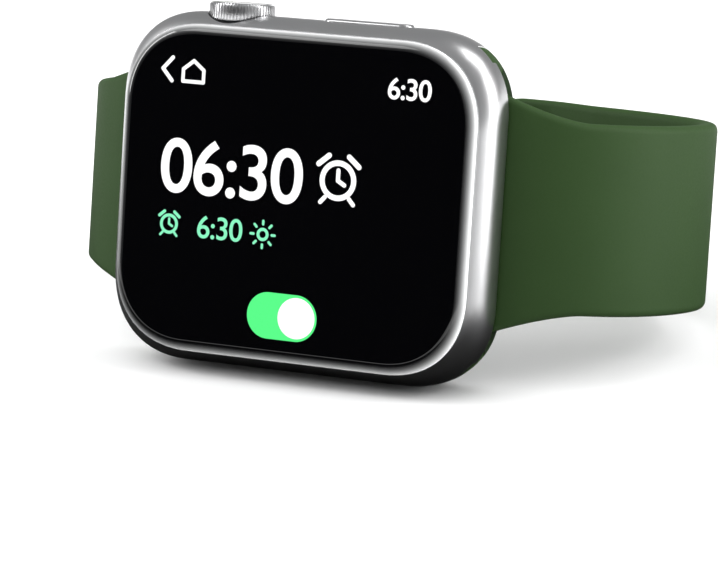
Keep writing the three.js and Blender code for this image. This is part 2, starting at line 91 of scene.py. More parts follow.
class Cut(Enum):
    """What a cutter does to a blank, as Blender's boolean names it."""

    AWAY = "DIFFERENCE"
    SHARED = "INTERSECT"


# ---------------------------------------------------------------- frame


@dataclass(frozen=True)
class CaseFrame:
    """Carries case-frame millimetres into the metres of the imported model.

    Args:
        matrix: the whole transform, scale included.
    """

    matrix: Matrix

    @classmethod
    def from_record(cls, joints: Sequence[dict]) -> "CaseFrame":
        """Reads the lean and place of the case from the crown's own axis.

        Args:
            joints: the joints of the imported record.
        Returns:
            The frame in which the crown's axis stands at its designed place.
        """
        crown = next(joint for joint in joints if joint["name"] == "crown_turn")
        up = Vector(crown["axis"]).normalized()
        across = Vector((1.0, 0.0, 0.0))
        back = up.cross(across)
        turn = Matrix((across, back, up)).transposed().to_4x4()
        anchor = Vector((CROWN_X, CONTROL_DEPTH, CROWN_ANCHOR_Z)) * MM
        place = Vector(crown["pos_m"]) - turn.to_3x3() @ anchor
        return cls(Matrix.Translation(place) @ turn @ Matrix.Scale(MM, 4))

    def point(self, x: float, y: float, z: float) -> Vector:
        """A case-frame point in metres."""
        return self.matrix @ Vector((x, y, z))

    def direction(self, x: float, y: float, z: float) -> Vector:
        """A case-frame direction, with unit length."""
        return (self.matrix.to_3x3() @ Vector((x, y, z))).normalized()


CASE = CaseFrame.from_record(frame["joints"])


# ---------------------------------------------------------------- materials


def linear(colour: str) -> tuple[float, float, float, float]:
    """Turns an sRGB hex colour into linear light.

    Args:
        colour: six hex digits, with or without a leading #.
    Returns:
        Linear red, green, blue and an alpha of 1.
    """
    digits = colour.lstrip("#")
    parts = [int(digits[place : place + 2], 16) / 255 for place in (0, 2, 4)]
    light = [p / 12.92 if p <= 0.04045 else ((p + 0.055) / 1.055) ** 2.4 for p in parts]
    return (*light, 1.0)


def add_node(
    tree: bpy.types.NodeTree,
    kind: str,
    settings: dict | None = None,
    links: dict | None = None,
) -> bpy.types.Node:
    """Adds one shader node with its settings and links.

    Args:
        tree: the node tree of a material or world.
        kind: the node's type name.
        settings: socket or property names with their values.
        links: input names with the output sockets that feed them.
    Returns:
        The new node.
    """
    node = tree.nodes.new(kind)
    for name, value in (settings or {}).items():
        if isinstance(name, int) or name in node.inputs:
            node.inputs[name].default_value = value
        else:
            setattr(node, name, value)
    for name, socket in (links or {}).items():
        tree.links.new(socket, node.inputs[name])
    return node


def new_tree(name: str) -> tuple[bpy.types.Material, bpy.types.NodeTree, bpy.types.NodeSocket]:
    """Starts a material.

    Args:
        name: the material's name.
    Returns:
        The material, its empty node tree and the place on the object as a socket.
    """
    made = bpy.data.materials.new(name)
    made.use_nodes = True
    tree = made.node_tree
    tree.nodes.clear()
    return made, tree, add_node(tree, "ShaderNodeTexCoord").outputs["Object"]


def show(tree: bpy.types.NodeTree, shader: bpy.types.Node, kind: str = "Material") -> None:
    """Sends a shader to the output of its tree.

    Args:
        tree: the node tree.
        shader: the node that ends it.
        kind: Material or World.
    """
    out = add_node(tree, f"ShaderNodeOutput{kind}")
    tree.links.new(shader.outputs[0], out.inputs["Surface"])


# The materials built so far, by name.
BUILT: dict[str, bpy.types.Material] = {}


@dataclass(frozen=True)
class Finish:
    """A surface with a slight grain: its colour varies a little and it is never quite flat.

    Args:
        name: the material's common name.
        colour: sRGB hex of the lighter tone.
        shade: sRGB hex of the darker tone.
        roughness: roughness of the smooth areas.
        rough_spread: how much the roughness varies over the surface.
        metallic: 1 for a metal.
        ior: refractive index, for what isn't a metal.
        grain: size of the grain in millimetres.
        relief: depth of the grain in millimetres.
        coat: weight of a clear gloss coat.
    """

    name: str
    colour: str
    shade: str
    roughness: float
    rough_spread: float = 0.05
    metallic: float = 0.0
    ior: float = 1.5
    grain: float = 0.6
    relief: float = 0.004
    coat: float = 0.0

    def material(self) -> bpy.types.Material:
        """Builds the material, or returns it if it is built already.

        Returns:
            The material with its nodes.
        """
        if self.name in BUILT:
            return BUILT[self.name]
        made, tree, place = new_tree(self.name)
        BUILT[self.name] = made
        fine = add_node(
            tree,
            "ShaderNodeTexNoise",
            {"Scale": 1 / (self.grain * MM), "Detail": 3.0, "Roughness": 0.6},
            {"Vector": place},
        )
        broad = add_node(
            tree,
            "ShaderNodeTexNoise",
            {"Scale": 1 / (9 * MM), "Detail": 2.0},
            {"Vector": place},
        )
        tone = add_node(
            tree,
            "ShaderNodeMix",
            {"data_type": "RGBA", 6: linear(self.shade), 7: linear(self.colour)},
            {0: broad.outputs["Fac"]},
        )
        rough = add_node(
            tree,
            "ShaderNodeMapRange",
            {
                "From Min": 0.3,
                "From Max": 0.7,
                "To Min": max(self.roughness - self.rough_spread, 0.02),
                "To Max": self.roughness + self.rough_spread,
            },
            {"Value": fine.outputs["Fac"]},
        )
        bump = add_node(
            tree,
            "ShaderNodeBump",
            {"Strength": 0.6, "Distance": self.relief * MM},
            {"Height": fine.outputs["Fac"]},
        )
        shader = add_node(
            tree,
            "ShaderNodeBsdfPrincipled",
            {
                "Metallic": self.metallic,
                "IOR": self.ior,
                "Coat Weight": self.coat,
            },
            {
                "Base Color": tone.outputs[2],
                "Roughness": rough.outputs["Result"],
                "Normal": bump.outputs["Normal"],
            },
        )
        show(tree, shader)
        return made


@dataclass(frozen=True)
class EdgeGlass:
    """Cover glass with black ink behind its flat, whose clear rolled edge carries a painted reflection
    of the steel.

    Args:
        name: the material's common name.
        flat: depth of the glass's flat, in the case frame.
        rim: depth at which its rolled edge ends.
        ink: sRGB hex of the flat.
        edge: sRGB hex of the painted reflection at the rim.
        onset: how far below the flat the painted reflection starts.
        slowness: how slowly the painted reflection brightens towards the rim, 1 for evenly.
        painted_glow: how strongly the painted reflection is also emitted, in place of the light that a
            clear edge gathers.
    """

    name: str
    flat: float
    rim: float
    ink: str = "#020203"
    edge: str = "#f2f3f3"
    onset: float = 0.03
    slowness: float = 1.3
    painted_glow: float = 0.3

    def material(self) -> bpy.types.Material:
        """Builds the material.

        Returns:
            The material, black over the flat and paler towards the rim.
        """
        made, tree, place = new_tree(self.name)
        back = CASE.direction(0, 1, 0)
        origin = back.dot(CASE.point(0, 0, 0))
        depth = add_node(
            tree, "ShaderNodeVectorMath", {"operation": "DOT_PRODUCT", 1: back}, {0: place}
        )
        # Painted reflection: the colour fades from the black ink over the flat to pale at the rim, in
        # place of the steel that the clear edge would mirror.
        painted_reflection_ramp = add_node(
            tree,
            "ShaderNodeMapRange",
            {
                "From Min": origin + (self.flat + self.onset) * MM,
                "From Max": origin + self.rim * MM,
            },
            {"Value": depth.outputs["Value"]},
        )
        painted_reflection_share = add_node(
            tree,
            "ShaderNodeMath",
            {"operation": "POWER", 1: self.slowness},
            {0: painted_reflection_ramp.outputs["Result"]},
        )
        tone = add_node(
            tree,
            "ShaderNodeMix",
            {"data_type": "RGBA", 6: linear(self.ink), 7: linear(self.edge)},
            {0: painted_reflection_share.outputs["Value"]},
        )
        smears = add_node(
            tree, "ShaderNodeTexNoise", {"Scale": 1 / (6 * MM), "Detail": 4.0}, {"Vector": place}
        )
        rough = add_node(
            tree,
            "ShaderNodeMapRange",
            {"To Min": 0.03, "To Max": 0.07},
            {"Value": smears.outputs["Fac"]},
        )
        # The painted reflection is also emitted, so the edge glows though it is no lamp.
        shader = add_node(
            tree,
            "ShaderNodeBsdfPrincipled",
            {"IOR": 1.52, "Emission Strength": self.painted_glow},
            {
                "Base Color": tone.outputs[2],
                "Roughness": rough.outputs["Result"],
                "Emission Color": tone.outputs[2],
            },
        )
        show(tree, shader)
        return made


@dataclass(frozen=True)
class Lit:
    """Light of one colour coming through the glass, as on a bright display element.

    Args:
        name: the element's name.
        colour: sRGB hex of the light.
        strength: how bright it is.
    """

    name: str
    colour: str
    strength: float = 1.0

    def material(self) -> bpy.types.Material:
        """Builds the material, or returns it if it is built already.

        Returns:
            The material, whose brightness ripples faintly over the display.
        """
        if self.name in BUILT:
            return BUILT[self.name]
        made, tree, place = new_tree(self.name)
        BUILT[self.name] = made
        # Display cells are 0.08 mm apart, too fine to show, so the ripple is drawn at 0.3 mm.
        cells = add_node(
            tree, "ShaderNodeTexNoise", {"Scale": 1 / (0.3 * MM)}, {"Vector": place}
        )
        ripple = add_node(
            tree,
            "ShaderNodeMapRange",
            {"To Min": self.strength * 0.96, "To Max": self.strength * 1.04},
            {"Value": cells.outputs["Fac"]},
        )
        shader = add_node(
            tree,
            "ShaderNodeBsdfPrincipled",
            {
                "Base Color": linear("#050505"),
                "Roughness": 0.08,
                "IOR": 1.52,
                "Emission Color": linear(self.colour),
            },
            {"Emission Strength": ripple.outputs["Result"]},
        )
        show(tree, shader)
        return made


# Stainless steel, finely blasted and then polished: a soft mirror that spreads each highlight.
SATIN_STEEL = Finish(
    "satin_stainless_steel", "#dcdcdd", "#d0d0d1", 0.3, 0.008, metallic=1.0, grain=0.35,
    relief=0.0002,
)
# Satin spring steel, rolled and tumbled: it spreads highlights wide.
SPRING_STEEL = Finish("stainless_spring_steel", "#b0b1b2", "#9c9d9f", 0.32, 0.06, metallic=1.0)
# Strengthened glass over black ink: black with one sharp reflection.
COVER_GLASS = Finish(
    "strengthened_glass_over_black", "#050506", "#030304", 0.05, 0.01, ior=1.52, grain=2.0, relief=0.0002
)
# Zirconia ceramic, polished after firing: dark and glassy, with a higher index than glass.
ZIRCONIA = Finish(
    "black_zirconia", "#141519", "#0e0f12", 0.12, 0.03, ior=2.1, grain=0.8, relief=0.0006
)
# Fluoroelastomer, compression moulded in a blasted mould: matte and soft to the eye.
FLUOROELASTOMER = Finish(
    "olive_fluoroelastomer", "#29431a", "#253e17", 0.68, ior=1.37, grain=0.25, relief=0.005
)
# Silicone seal rubber: black and dull.
SEAL_SILICONE = Finish("seal_silicone", "#1d1d1e", "#151516", 0.7, ior=1.42)
# Glass-filled nylon, injection moulded: dark grey with a fine texture.
FILLED_NYLON = Finish("glass_filled_nylon", "#2b2d30", "#222427", 0.5, ior=1.53, relief=0.01)
# Solder mask over woven board: deep green and half glossy.
SOLDER_MASK = Finish("solder_mask_board", "#17351f", "#102617", 0.35, ior=1.55, grain=1.0)
# Aluminium-laminate pouch of a lithium cell: grey and lightly creased.
POUCH_FOIL = Finish("pouch_foil", "#3b3e42", "#2c2f33", 0.38, 0.1, metallic=0.6, relief=0.02)
# Copper under clear enamel, wound as wire or etched on film: warm and glossy.
ENAMELLED_COPPER = Finish("enamelled_copper", "#c47b46", "#a5612f", 0.3, metallic=1.0, coat=0.5)
# Free-cutting brass, turned: warm yellow with a soft gloss.
TURNED_BRASS = Finish("turned_brass", "#cfae66", "#b9944c", 0.25, metallic=1.0)

# Black velvet, woven: it drinks up nearly all light. The card of it under the watch is painted shade.
BLACK_CLOTH = Finish("black_flag_cloth", "#030303", "#010101", 0.95, relief=0.0, grain=2)
# Paint, rolled on matte: an even pale ground.
FLOOR_PAINT = Finish("matte_white_floor", "#f4f4f4", "#f2f2f2", 0.7, relief=0.0, grain=5)

# Light of the display's cells behind the glass: crisp shapes that need no lamp.
WHITE_LIGHT = Lit("white_display_light", "#ffffff", 1.15)
MINT_LIGHT = Lit("mint_display_light", "#8df5c4", 1.0)
GREEN_LIGHT = Lit("green_display_light", "#5cff8c", 1.0)


# ---------------------------------------------------------------- shaping


def soft_rectangle(
    half_u: float, half_v: float, radius: float, exponent: float = 2.0, steps: int = 40
) -> list[tuple[float, float]]:
    """The corner points of a rectangle whose corners are softened.

    Args:
        half_u: half its first size.
        half_v: half its second size.
        radius: corner radius.
        exponent: 2 for round corners, more for fuller ones.
        steps: points in each corner, less one.
    Returns:
        Points in order round the outline.
    """
    points = []
    for corner in range(4):
        sign_u = 1 if corner in (0, 3) else -1
        sign_v = 1 if corner < 2 else -1
        for step in range(steps + 1):
            turn = step / steps if corner % 2 == 0 else 1 - step / steps
            angle = turn * math.pi / 2
            u = half_u - radius + radius * max(math.cos(angle), 0) ** (2 / exponent)
            v = half_v - radius + radius * max(math.sin(angle), 0) ** (2 / exponent)
            points.append((sign_u * u, sign_v * v))
    return points


def wall_outline(bulge: float, inset: float) -> list[tuple[float, float]]:
    """The outline of the steel wall, drawn in by an inset.

    Args:
        bulge: 0 at the wall's front edge, 1 at its widest.
        inset: how far the outline is drawn in, in millimetres.
    Returns:
        Points in order round the outline.
    """
    half_x = FRONT_HALF_X + BULGE_X * bulge - inset
    half_z = FRONT_HALF_Z + BULGE_Z * bulge - inset
    return soft_rectangle(half_x, half_z, CORNER_RADIUS - inset, CORNER_EXPONENT)


def ring_edges(
    mesh: bmesh.types.BMesh, ring: list[bmesh.types.BMVert]
) -> list[bmesh.types.BMEdge]:
    """The edges that join a ring's vertices."""
    return [mesh.edges.get(pair) for pair in zip(ring, ring[1:] + ring[:1])]


def next_ring(
    mesh: bmesh.types.BMesh, ring: list[bmesh.types.BMVert]
) -> list[bmesh.types.BMVert]:
    """Extrudes a ring of edges.

    Args:
        mesh: the mesh that holds the ring.
        ring: its vertices in order.
    Returns:
        The new ring's vertices in the same order.
    """
    made = bmesh.ops.extrude_edge_only(mesh, edges=ring_edges(mesh, ring))["geom"]
    fresh = {item for item in made if isinstance(item, bmesh.types.BMVert)}
    return [
        next(edge.other_vert(vert) for edge in vert.link_edges if edge.other_vert(vert) in fresh)
        for vert in ring
    ]


def through_rings(rings: Sequence[Sequence[Vector]], closed: bool = False) -> bmesh.types.BMesh:
    """Draws one skin through rings of points.

    Args:
        rings: rings with the same number of points, in order along the piece.
        closed: whether the last ring joins the first, as on a frame, or both ends are capped.
    Returns:
        A closed mesh with its faces outwards.
    """
    mesh = bmesh.new()
    first = bmesh.ops.create_circle(mesh, cap_ends=False, segments=len(rings[0]), radius=1)["verts"]
    ring = first
    for place, points in enumerate(rings):
        ring = next_ring(mesh, ring) if place else ring
        for vert, point in zip(ring, points):
            vert.co = point
    if closed:
        ends = ring_edges(mesh, first) + ring_edges(mesh, ring)
        bmesh.ops.bridge_loops(mesh, edges=ends)
    else:
        bmesh.ops.contextual_create(mesh, geom=ring_edges(mesh, first))
        bmesh.ops.contextual_create(mesh, geom=ring_edges(mesh, ring))
    bmesh.ops.remove_doubles(mesh, verts=mesh.verts, dist=1e-5)
    bmesh.ops.recalc_face_normals(mesh, faces=mesh.faces)
    return mesh


def drawn_out(
    levels: Sequence[tuple[Sequence[tuple[float, float]], float]],
    along: Along = Along.DEPTH,
    centre: tuple[float, float] = (0.0, 0.0),
    closed: bool = False,
) -> bmesh.types.BMesh:
    """Draws an outline out along one direction, changing it from level to level.

    Args:
        levels: outlines and the heights at which they lie.
        along: the direction in which they follow each other.
        centre: where the outlines' own centre lies.
        closed: whether the last level joins the first.
    Returns:
        A closed mesh.
    """
    rings = []
    for outline, height in levels:
        if along is Along.DEPTH:
            ring = [Vector((u + centre[0], height, v + centre[1])) for u, v in outline]
        else:
            ring = [Vector((u + centre[0], v + centre[1], height)) for u, v in outline]
        rings.append(ring)
    return through_rings(rings, closed)


def turned(
    profile: Sequence[tuple[float, float]], axis_at: Vector, axis: Vector, steps: int = 96
) -> bmesh.types.BMesh:
    """Turns a profile on a lathe.

    Args:
        profile: radius and height of each point, from axis to axis.
        axis_at: a point of the axis at height 0.
        axis: the direction of the axis.
        steps: faces round the piece.
    Returns:
        A closed mesh with its faces outwards.
    """
    mesh = bmesh.new()
    side = axis.orthogonal().normalized()
    verts = [mesh.verts.new(axis_at + side * radius + axis * height) for radius, height in profile]
    edges = [mesh.edges.new(pair) for pair in zip(verts, verts[1:])]
    bmesh.ops.spin(
        mesh, geom=verts + edges, cent=axis_at, axis=axis, angle=2 * math.pi, steps=steps,
        use_merge=True, use_duplicate=False,
    )
    bmesh.ops.remove_doubles(mesh, verts=mesh.verts, dist=1e-4)
    bmesh.ops.recalc_face_normals(mesh, faces=mesh.faces)
    return mesh


def rounded(steps: int, size: float, depth: float) -> list[tuple[float, float]]:
    """Inset and drop of a quarter-ellipse edge, from its flat top to its upright side.

    Args:
        steps: how many flats stand for the curve.
        size: its width.
        depth: its depth.
    Returns:
        Insets and drops in order.
    """
    angles = [step * math.pi / 2 / steps for step in range(steps + 1)]
    return [(size * (1 - math.sin(angle)), depth * (1 - math.cos(angle))) for angle in angles]


def pill(half_length: float, half_width: float, steps: int) -> list[tuple[float, float]]:
    """The outline of a slot with round ends, or of a disc when its halves are equal.

    Args:
        half_length: half its length.
        half_width: half its width.
        steps: points in each quarter of its ends, less one.
    Returns:
        Points in order round the outline.
    """
    return soft_rectangle(half_length, half_width, half_width - 0.001, steps=steps)


def box_cutter(low: Sequence[float], high: Sequence[float]) -> bmesh.types.BMesh:
    """A box between two corners, for cutting.

    Args:
        low: its lowest corner.
        high: its highest corner.
    Returns:
        The box.
    """
    mesh = bmesh.new()
    bmesh.ops.create_cube(mesh, size=1)
    size = Vector(high) - Vector(low)
    bmesh.ops.scale(mesh, vec=size, verts=mesh.verts)
    bmesh.ops.translate(mesh, vec=(Vector(high) + Vector(low)) / 2, verts=mesh.verts)
    return mesh


def rod_cutter(radius: float, low: Vector, high: Vector, segments: int = 48) -> bmesh.types.BMesh:
    """A round rod between two points, for cutting.

    Args:
        radius: its radius.
        low: the middle of one end.
        high: the middle of the other end.
        segments: faces round it.
    Returns:
        The rod.
    """
    mesh = bmesh.new()
    run = high - low
    place = Matrix.Translation((low + high) / 2) @ run.to_track_quat("Z", "Y").to_matrix().to_4x4()
    bmesh.ops.create_cone(
        mesh, cap_ends=True, segments=segments, radius1=radius, radius2=radius,
        depth=run.length, matrix=place,
    )
    return mesh


def as_object(mesh: bmesh.types.BMesh, name: str) -> bpy.types.Object:
    """Turns a mesh that is being worked on into a new object of the scene.

    Args:
        mesh: the mesh, which is freed.
        name: the object's name.
    Returns:
        The new object.
    """
    data = bpy.data.meshes.new(name)
    mesh.to_mesh(data)
    mesh.free()
    made = bpy.data.objects.new(name, data)
    bpy.context.scene.collection.objects.link(made)
    return made


def carve(
    blank: bmesh.types.BMesh,
    cutters: Iterable[bmesh.types.BMesh],
    operation: Cut = Cut.AWAY,
) -> bmesh.types.BMesh:
    """Cuts solids away from a blank, or keeps what it shares with them.

    Args:
        blank: the solid to cut, which is freed.
        cutters: closed solids to cut it with, which are freed.
        operation: whether to cut away, or to keep what is shared.
    Returns:
        What is left.
    """
    body = as_object(blank, "blank")
    tools = [as_object(cutter, "cutter") for cutter in cutters]
    for tool in tools:
        cut = body.modifiers.new("cut", "BOOLEAN")
        cut.operation = operation.value
        cut.solver = "EXACT"
        cut.object = tool
    bpy.context.view_layer.update()
    shaped = body.evaluated_get(bpy.context.evaluated_depsgraph_get())
    left = bmesh.new()
    left.from_mesh(shaped.to_mesh())
    bmesh.ops.remove_doubles(left, verts=left.verts, dist=MERGE)
    bmesh.ops.dissolve_degenerate(left, dist=SLIVER, edges=left.edges)
    bmesh.ops.recalc_face_normals(left, faces=left.faces)
    for item in (body, *tools):
        bpy.data.objects.remove(item, do_unlink=True)
    return left


@dataclass
class Piece:
    """One finished piece and how it joins the model.

    Args:
        name: its name.
        body: the moving body that it rides on.
        finish: its surface.
        slot: the record's material slot; not used.
        stands_for: the CAD nodes that it replaces.
        sharp: the angle in degrees above which an edge stays crisp.
    """

    name: str
    body: str
    finish: Finish | EdgeGlass | Lit
    slot: str
    stands_for: tuple[str, ...] = ()
    sharp: float = 32.0

    def finished(self, mesh: bmesh.types.BMesh) -> bpy.types.Object:
        """Carries a case-frame mesh into place, dresses it and hands it to its body.

        Args:
            mesh: the mesh in case-frame millimetres, which is freed.
        Returns:
            The finished object.
        """
        bmesh.ops.transform(mesh, matrix=CASE.matrix, verts=mesh.verts)
        made = as_object(mesh, self.name)
        made.data.shade_smooth()
        made.data.set_sharp_from_angle(angle=math.radians(self.sharp))
        made.data.materials.clear()
        made.data.materials.append(self.finish.material())
        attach(made, self.body)
        if self.stands_for:
            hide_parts(*self.stands_for)
        LOG.info("%s: %d faces, rides on %s", self.name, len(made.data.polygons), self.body)
        return made


# ---------------------------------------------------------------- housing


@dataclass
class Housing:
    """The steel case: a soft block with a pocket each side, side controls and band channels.

    Args:
        front: depth of the front edge.
        belt: front and rear depth of the widest part.
        rear: depth of the wrist-side edge.
        rear_inset: how far the wrist-side edge lies inside the widest outline.
        lip: width of the thin lip that stands round the glass.
        lip_round: radius of the lip's outer edge.
        shelf: inset of the shelf's inner edge under the glass.
        channel: near, far, front and rear of the band chamber.
        mouth: front and rear of the channel's narrower mouth.
        crown_seat: radius and floor height of the crown's seat.
        crown_bore: radius of the bore for the crown's shaft.
        button_seat: half length, half width and floor height of the button's seat.
        button_bore: radius of the bore for the button's post.
        ear: X and radius of the microphone hole.
        speaker_slots: X of each speaker slot.
        slot_half: half length and half width of a speaker slot.
        latch_half: half width and half length of a latch's hole.
    """

    front: float = -9.52
    belt: tuple[float, float] = (-6.1, -5.6)
    rear: float = -0.9
    rear_inset: float = 1.65
    lip: float = 0.08
    lip_round: float = 0.05
    shelf: float = 1.1
    channel: tuple[float, float, float, float] = (19.4, 21.3, -5.6, -2.2)
    mouth: tuple[float, float] = (-4.7, -2.5)
    crown_seat: tuple[float, float] = (3.9, 18.6)
    crown_bore: float = 2.2
    button_seat: tuple[float, float, float] = (5.65, 1.55, 17.3)
    button_bore: float = 0.85
    ear: tuple[float, float] = (-3.0, 0.35)
    speaker_slots: tuple[float, float] = (6.0, 12.5)
    slot_half: tuple[float, float] = (2.6, 0.5)
    latch_half: tuple[float, float] = (0.5, 1.9)

    def front_levels(self) -> list[tuple[float, float, float]]:
        """The levels from the pocket over the lip to the belt.

        Returns:
            Bulge, inset and depth of each level in order.
        """
        seat = self.front + 0.2
        levels = [(0.0, 4.6, -7.8), (0.0, self.shelf, -8.0), (0.0, self.shelf, seat)]
        levels += [(0.0, self.lip + 0.01, seat), (0.0, self.lip, self.front + 0.04)]
        levels.append((0.0, self.lip - 0.03, self.front))
        for inset, drop in rounded(5, self.lip_round, self.lip_round):
            levels.append((0.0, inset, self.front + drop))
        start = self.front + self.lip_round
        sine, cosine = math.sin(BULGE_START), math.cos(BULGE_START)
        for step in range(1, 15):
            angle = BULGE_START + step / 14 * (math.pi / 2 - BULGE_START)
            depth = self.belt[0] + (start - self.belt[0]) * math.cos(angle) / cosine
            levels.append(((math.sin(angle) - sine) / (1 - sine), 0.0, depth))
        return levels

    def rear_levels(self) -> list[tuple[float, float, float]]:
        """The levels from the belt to the wrist-side pocket.

        Returns:
            Bulge, inset and depth of each level in order.
        """
        levels = []
        for step in range(15):
            angle = step * math.pi / 28
            depth = self.belt[1] + (self.rear - self.belt[1]) * math.sin(angle)
            levels.append((1.0, self.rear_inset * (1 - math.cos(angle)), depth))
        levels += [(1.0, self.rear_inset + 0.05, self.rear), (1.0, 3.95, self.rear)]
        levels += [(1.0, 4.0, self.rear - 0.05), (1.0, 4.0, -1.9), (1.0, 5.5, -1.9)]
        return levels

    def blank(self) -> bmesh.types.BMesh:
        """The rounded ring of steel before anything is cut into its sides.

        Returns:
            The closed ring.
        """
        levels = self.front_levels() + self.rear_levels()
        outlines = [(wall_outline(bulge, inset), y) for bulge, inset, y in levels]
        return drawn_out(outlines, closed=True)

    def channel_cutter(self, end: int) -> list[bmesh.types.BMesh]:
        """The two boxes of the band channel at one end of the case.

        Args:
            end: 1 at 6 o'clock, -1 at 12 o'clock.
        Returns:
            The chamber and its mouth.
        """
        near, far, front, rear = self.channel
        boxes = []
        for a, b, y0, y1 in ((near, far, front, rear), (far - 0.1, 26.0, *self.mouth)):
            x0, x1 = sorted((end * a, end * b))
            boxes.append(box_cutter((x0, y0, -THROUGH), (x1, y1, THROUGH)))
        return boxes

    def bore(
        self, x: float, radius: float, low: float, high: float, segments: int
    ) -> bmesh.types.BMesh:
        """A round cutter into the crown side, at the depth of the controls.

        Args:
            x: where it stands along the case.
            radius: its radius.
            low: height of its floor.
            high: height at which it ends, outside the case.
            segments: faces round it.
        Returns:
            The cutter.
        """
        foot, head = (Vector((x, CONTROL_DEPTH, height)) for height in (low, high))
        return rod_cutter(radius, foot, head, segments)

    def latch_hole(self, end: int, front: float, rear: float) -> bmesh.types.BMesh:
        """A cutter for the hole of one latch.

        Args:
            end: 1 at 6 o'clock, -1 at 12 o'clock.
            front: depth at which it starts.
            rear: depth at which it ends.
        Returns:
            The cutter.
        """
        half_x, half_z = self.latch_half
        outline = soft_rectangle(half_x, half_z, half_x - 0.001, steps=8)
        return drawn_out([(outline, front), (outline, rear)], centre=(end * LATCH_X, 0))

    def cutters(self) -> list[bmesh.types.BMesh]:
        """Everything that is cut into the sides and the wrist face.

        Returns:
            Closed solids, from the band channels to the latch holes.
        """
        tools = self.channel_cutter(1) + self.channel_cutter(-1)
        seat_radius, seat_floor = self.crown_seat
        tools.append(self.bore(CROWN_X, seat_radius, seat_floor, 24, 96))
        tools.append(self.bore(CROWN_X, self.crown_bore, 12, 20, 48))
        half_length, half_width, floor = self.button_seat
        seat = pill(half_length, half_width, 16)
        button = (BUTTON_X, CONTROL_DEPTH)
        tools.append(drawn_out([(seat, floor), (seat, THROUGH)], Along.CROWN_SIDE, button))
        tools.append(self.bore(BUTTON_X, self.button_bore, 12, 18, 24))
        tools.append(self.bore(*self.ear, 12, THROUGH, 24))
        slot = pill(*self.slot_half, 8)
        for x in self.speaker_slots:
            levels = [(slot, -THROUGH), (slot, -13)]
            tools.append(drawn_out(levels, Along.CROWN_SIDE, (x, CONTROL_DEPTH)))
        return tools + [self.latch_hole(end, -3, 1) for end in (1, -1)]

    def lug(self, end: int) -> bmesh.types.BMesh:
        """The bar that fills one channel, its ends flush with the case's corners.

        Args:
            end: 1 at 6 o'clock, -1 at 12 o'clock.
        Returns:
            The bar.
        """
        near, far, front, rear = self.channel
        x0, x1 = sorted((end * (near + 0.1), end * (far - 0.05)))
        bar = box_cutter((x0, front + 0.05, -THROUGH), (x1, rear - 0.1, THROUGH))
        levels = [(bulge, inset, y) for bulge, inset, y in self.front_levels() if bulge > 0]
        levels += [(bulge, inset, y) for bulge, inset, y in self.rear_levels() if inset < 2]
        hull = drawn_out([(wall_outline(bulge, inset + 0.04), y) for bulge, inset, y in levels])
        return carve(carve(bar, [hull], Cut.SHARED), [self.latch_hole(end, -5.1, 0)])

    def build(self) -> None:
        """Makes the case, and the band's bars that fill its channels."""
        piece = Piece("case_shell", "case_body", SATIN_STEEL, "polished_steel", ("case",))
        piece.finished(carve(self.blank(), self.cutters()))
        for end, name in ((-1, "lug_12"), (1, "lug_6")):
            piece = Piece(f"{name}_bar", "band", FLUOROELASTOMER, "green_rubber", (name,))
            piece.finished(self.lug(end))


@dataclass
class DisplayGlass:
    """The cover glass, flat in front and rolled over at its edge.

    Args:
        front: depth of the flat.
        rim: depth at which the rolled edge ends.
        rim_inset: how far the rim lies inside the wall's front edge.
        roll: width of the rolled edge.
        rim_height: height of the upright rim behind the roll.
        foot: inset and rear depth of the foot that stands on the shelf.
    """

    front: float = -CASE_DEPTH
    rim: float = -9.6
    rim_inset: float = 0.1
    roll: float = 1.35
    rim_height: float = 0.18
    foot: tuple[float, float] = (1.3, -9.2)

    def build(self) -> None:
        """Makes the glass."""
        flat = self.rim_inset + self.roll
        profile = [(flat + 0.04, self.front)]
        for inset, drop in rounded(18, self.roll, self.rim - self.front):
            profile.append((self.rim_inset + inset, self.front + drop))
        rear = self.rim + self.rim_height
        profile += [(self.rim_inset, rear), (self.foot[0], rear), self.foot]
        levels = [(wall_outline(0.0, inset), depth) for inset, depth in profile]
        # The glass's material paints a reflection of the steel into its rolled edge, in colour and glow.
        finish = EdgeGlass("cover_glass_black_ink_painted_edge_reflection", self.front, self.rim)
        piece = Piece("glass", "case_body", finish, "black_glass", ("cover_glass",))
        piece.finished(drawn_out(levels))


# ---------------------------------------------------------------- display picture


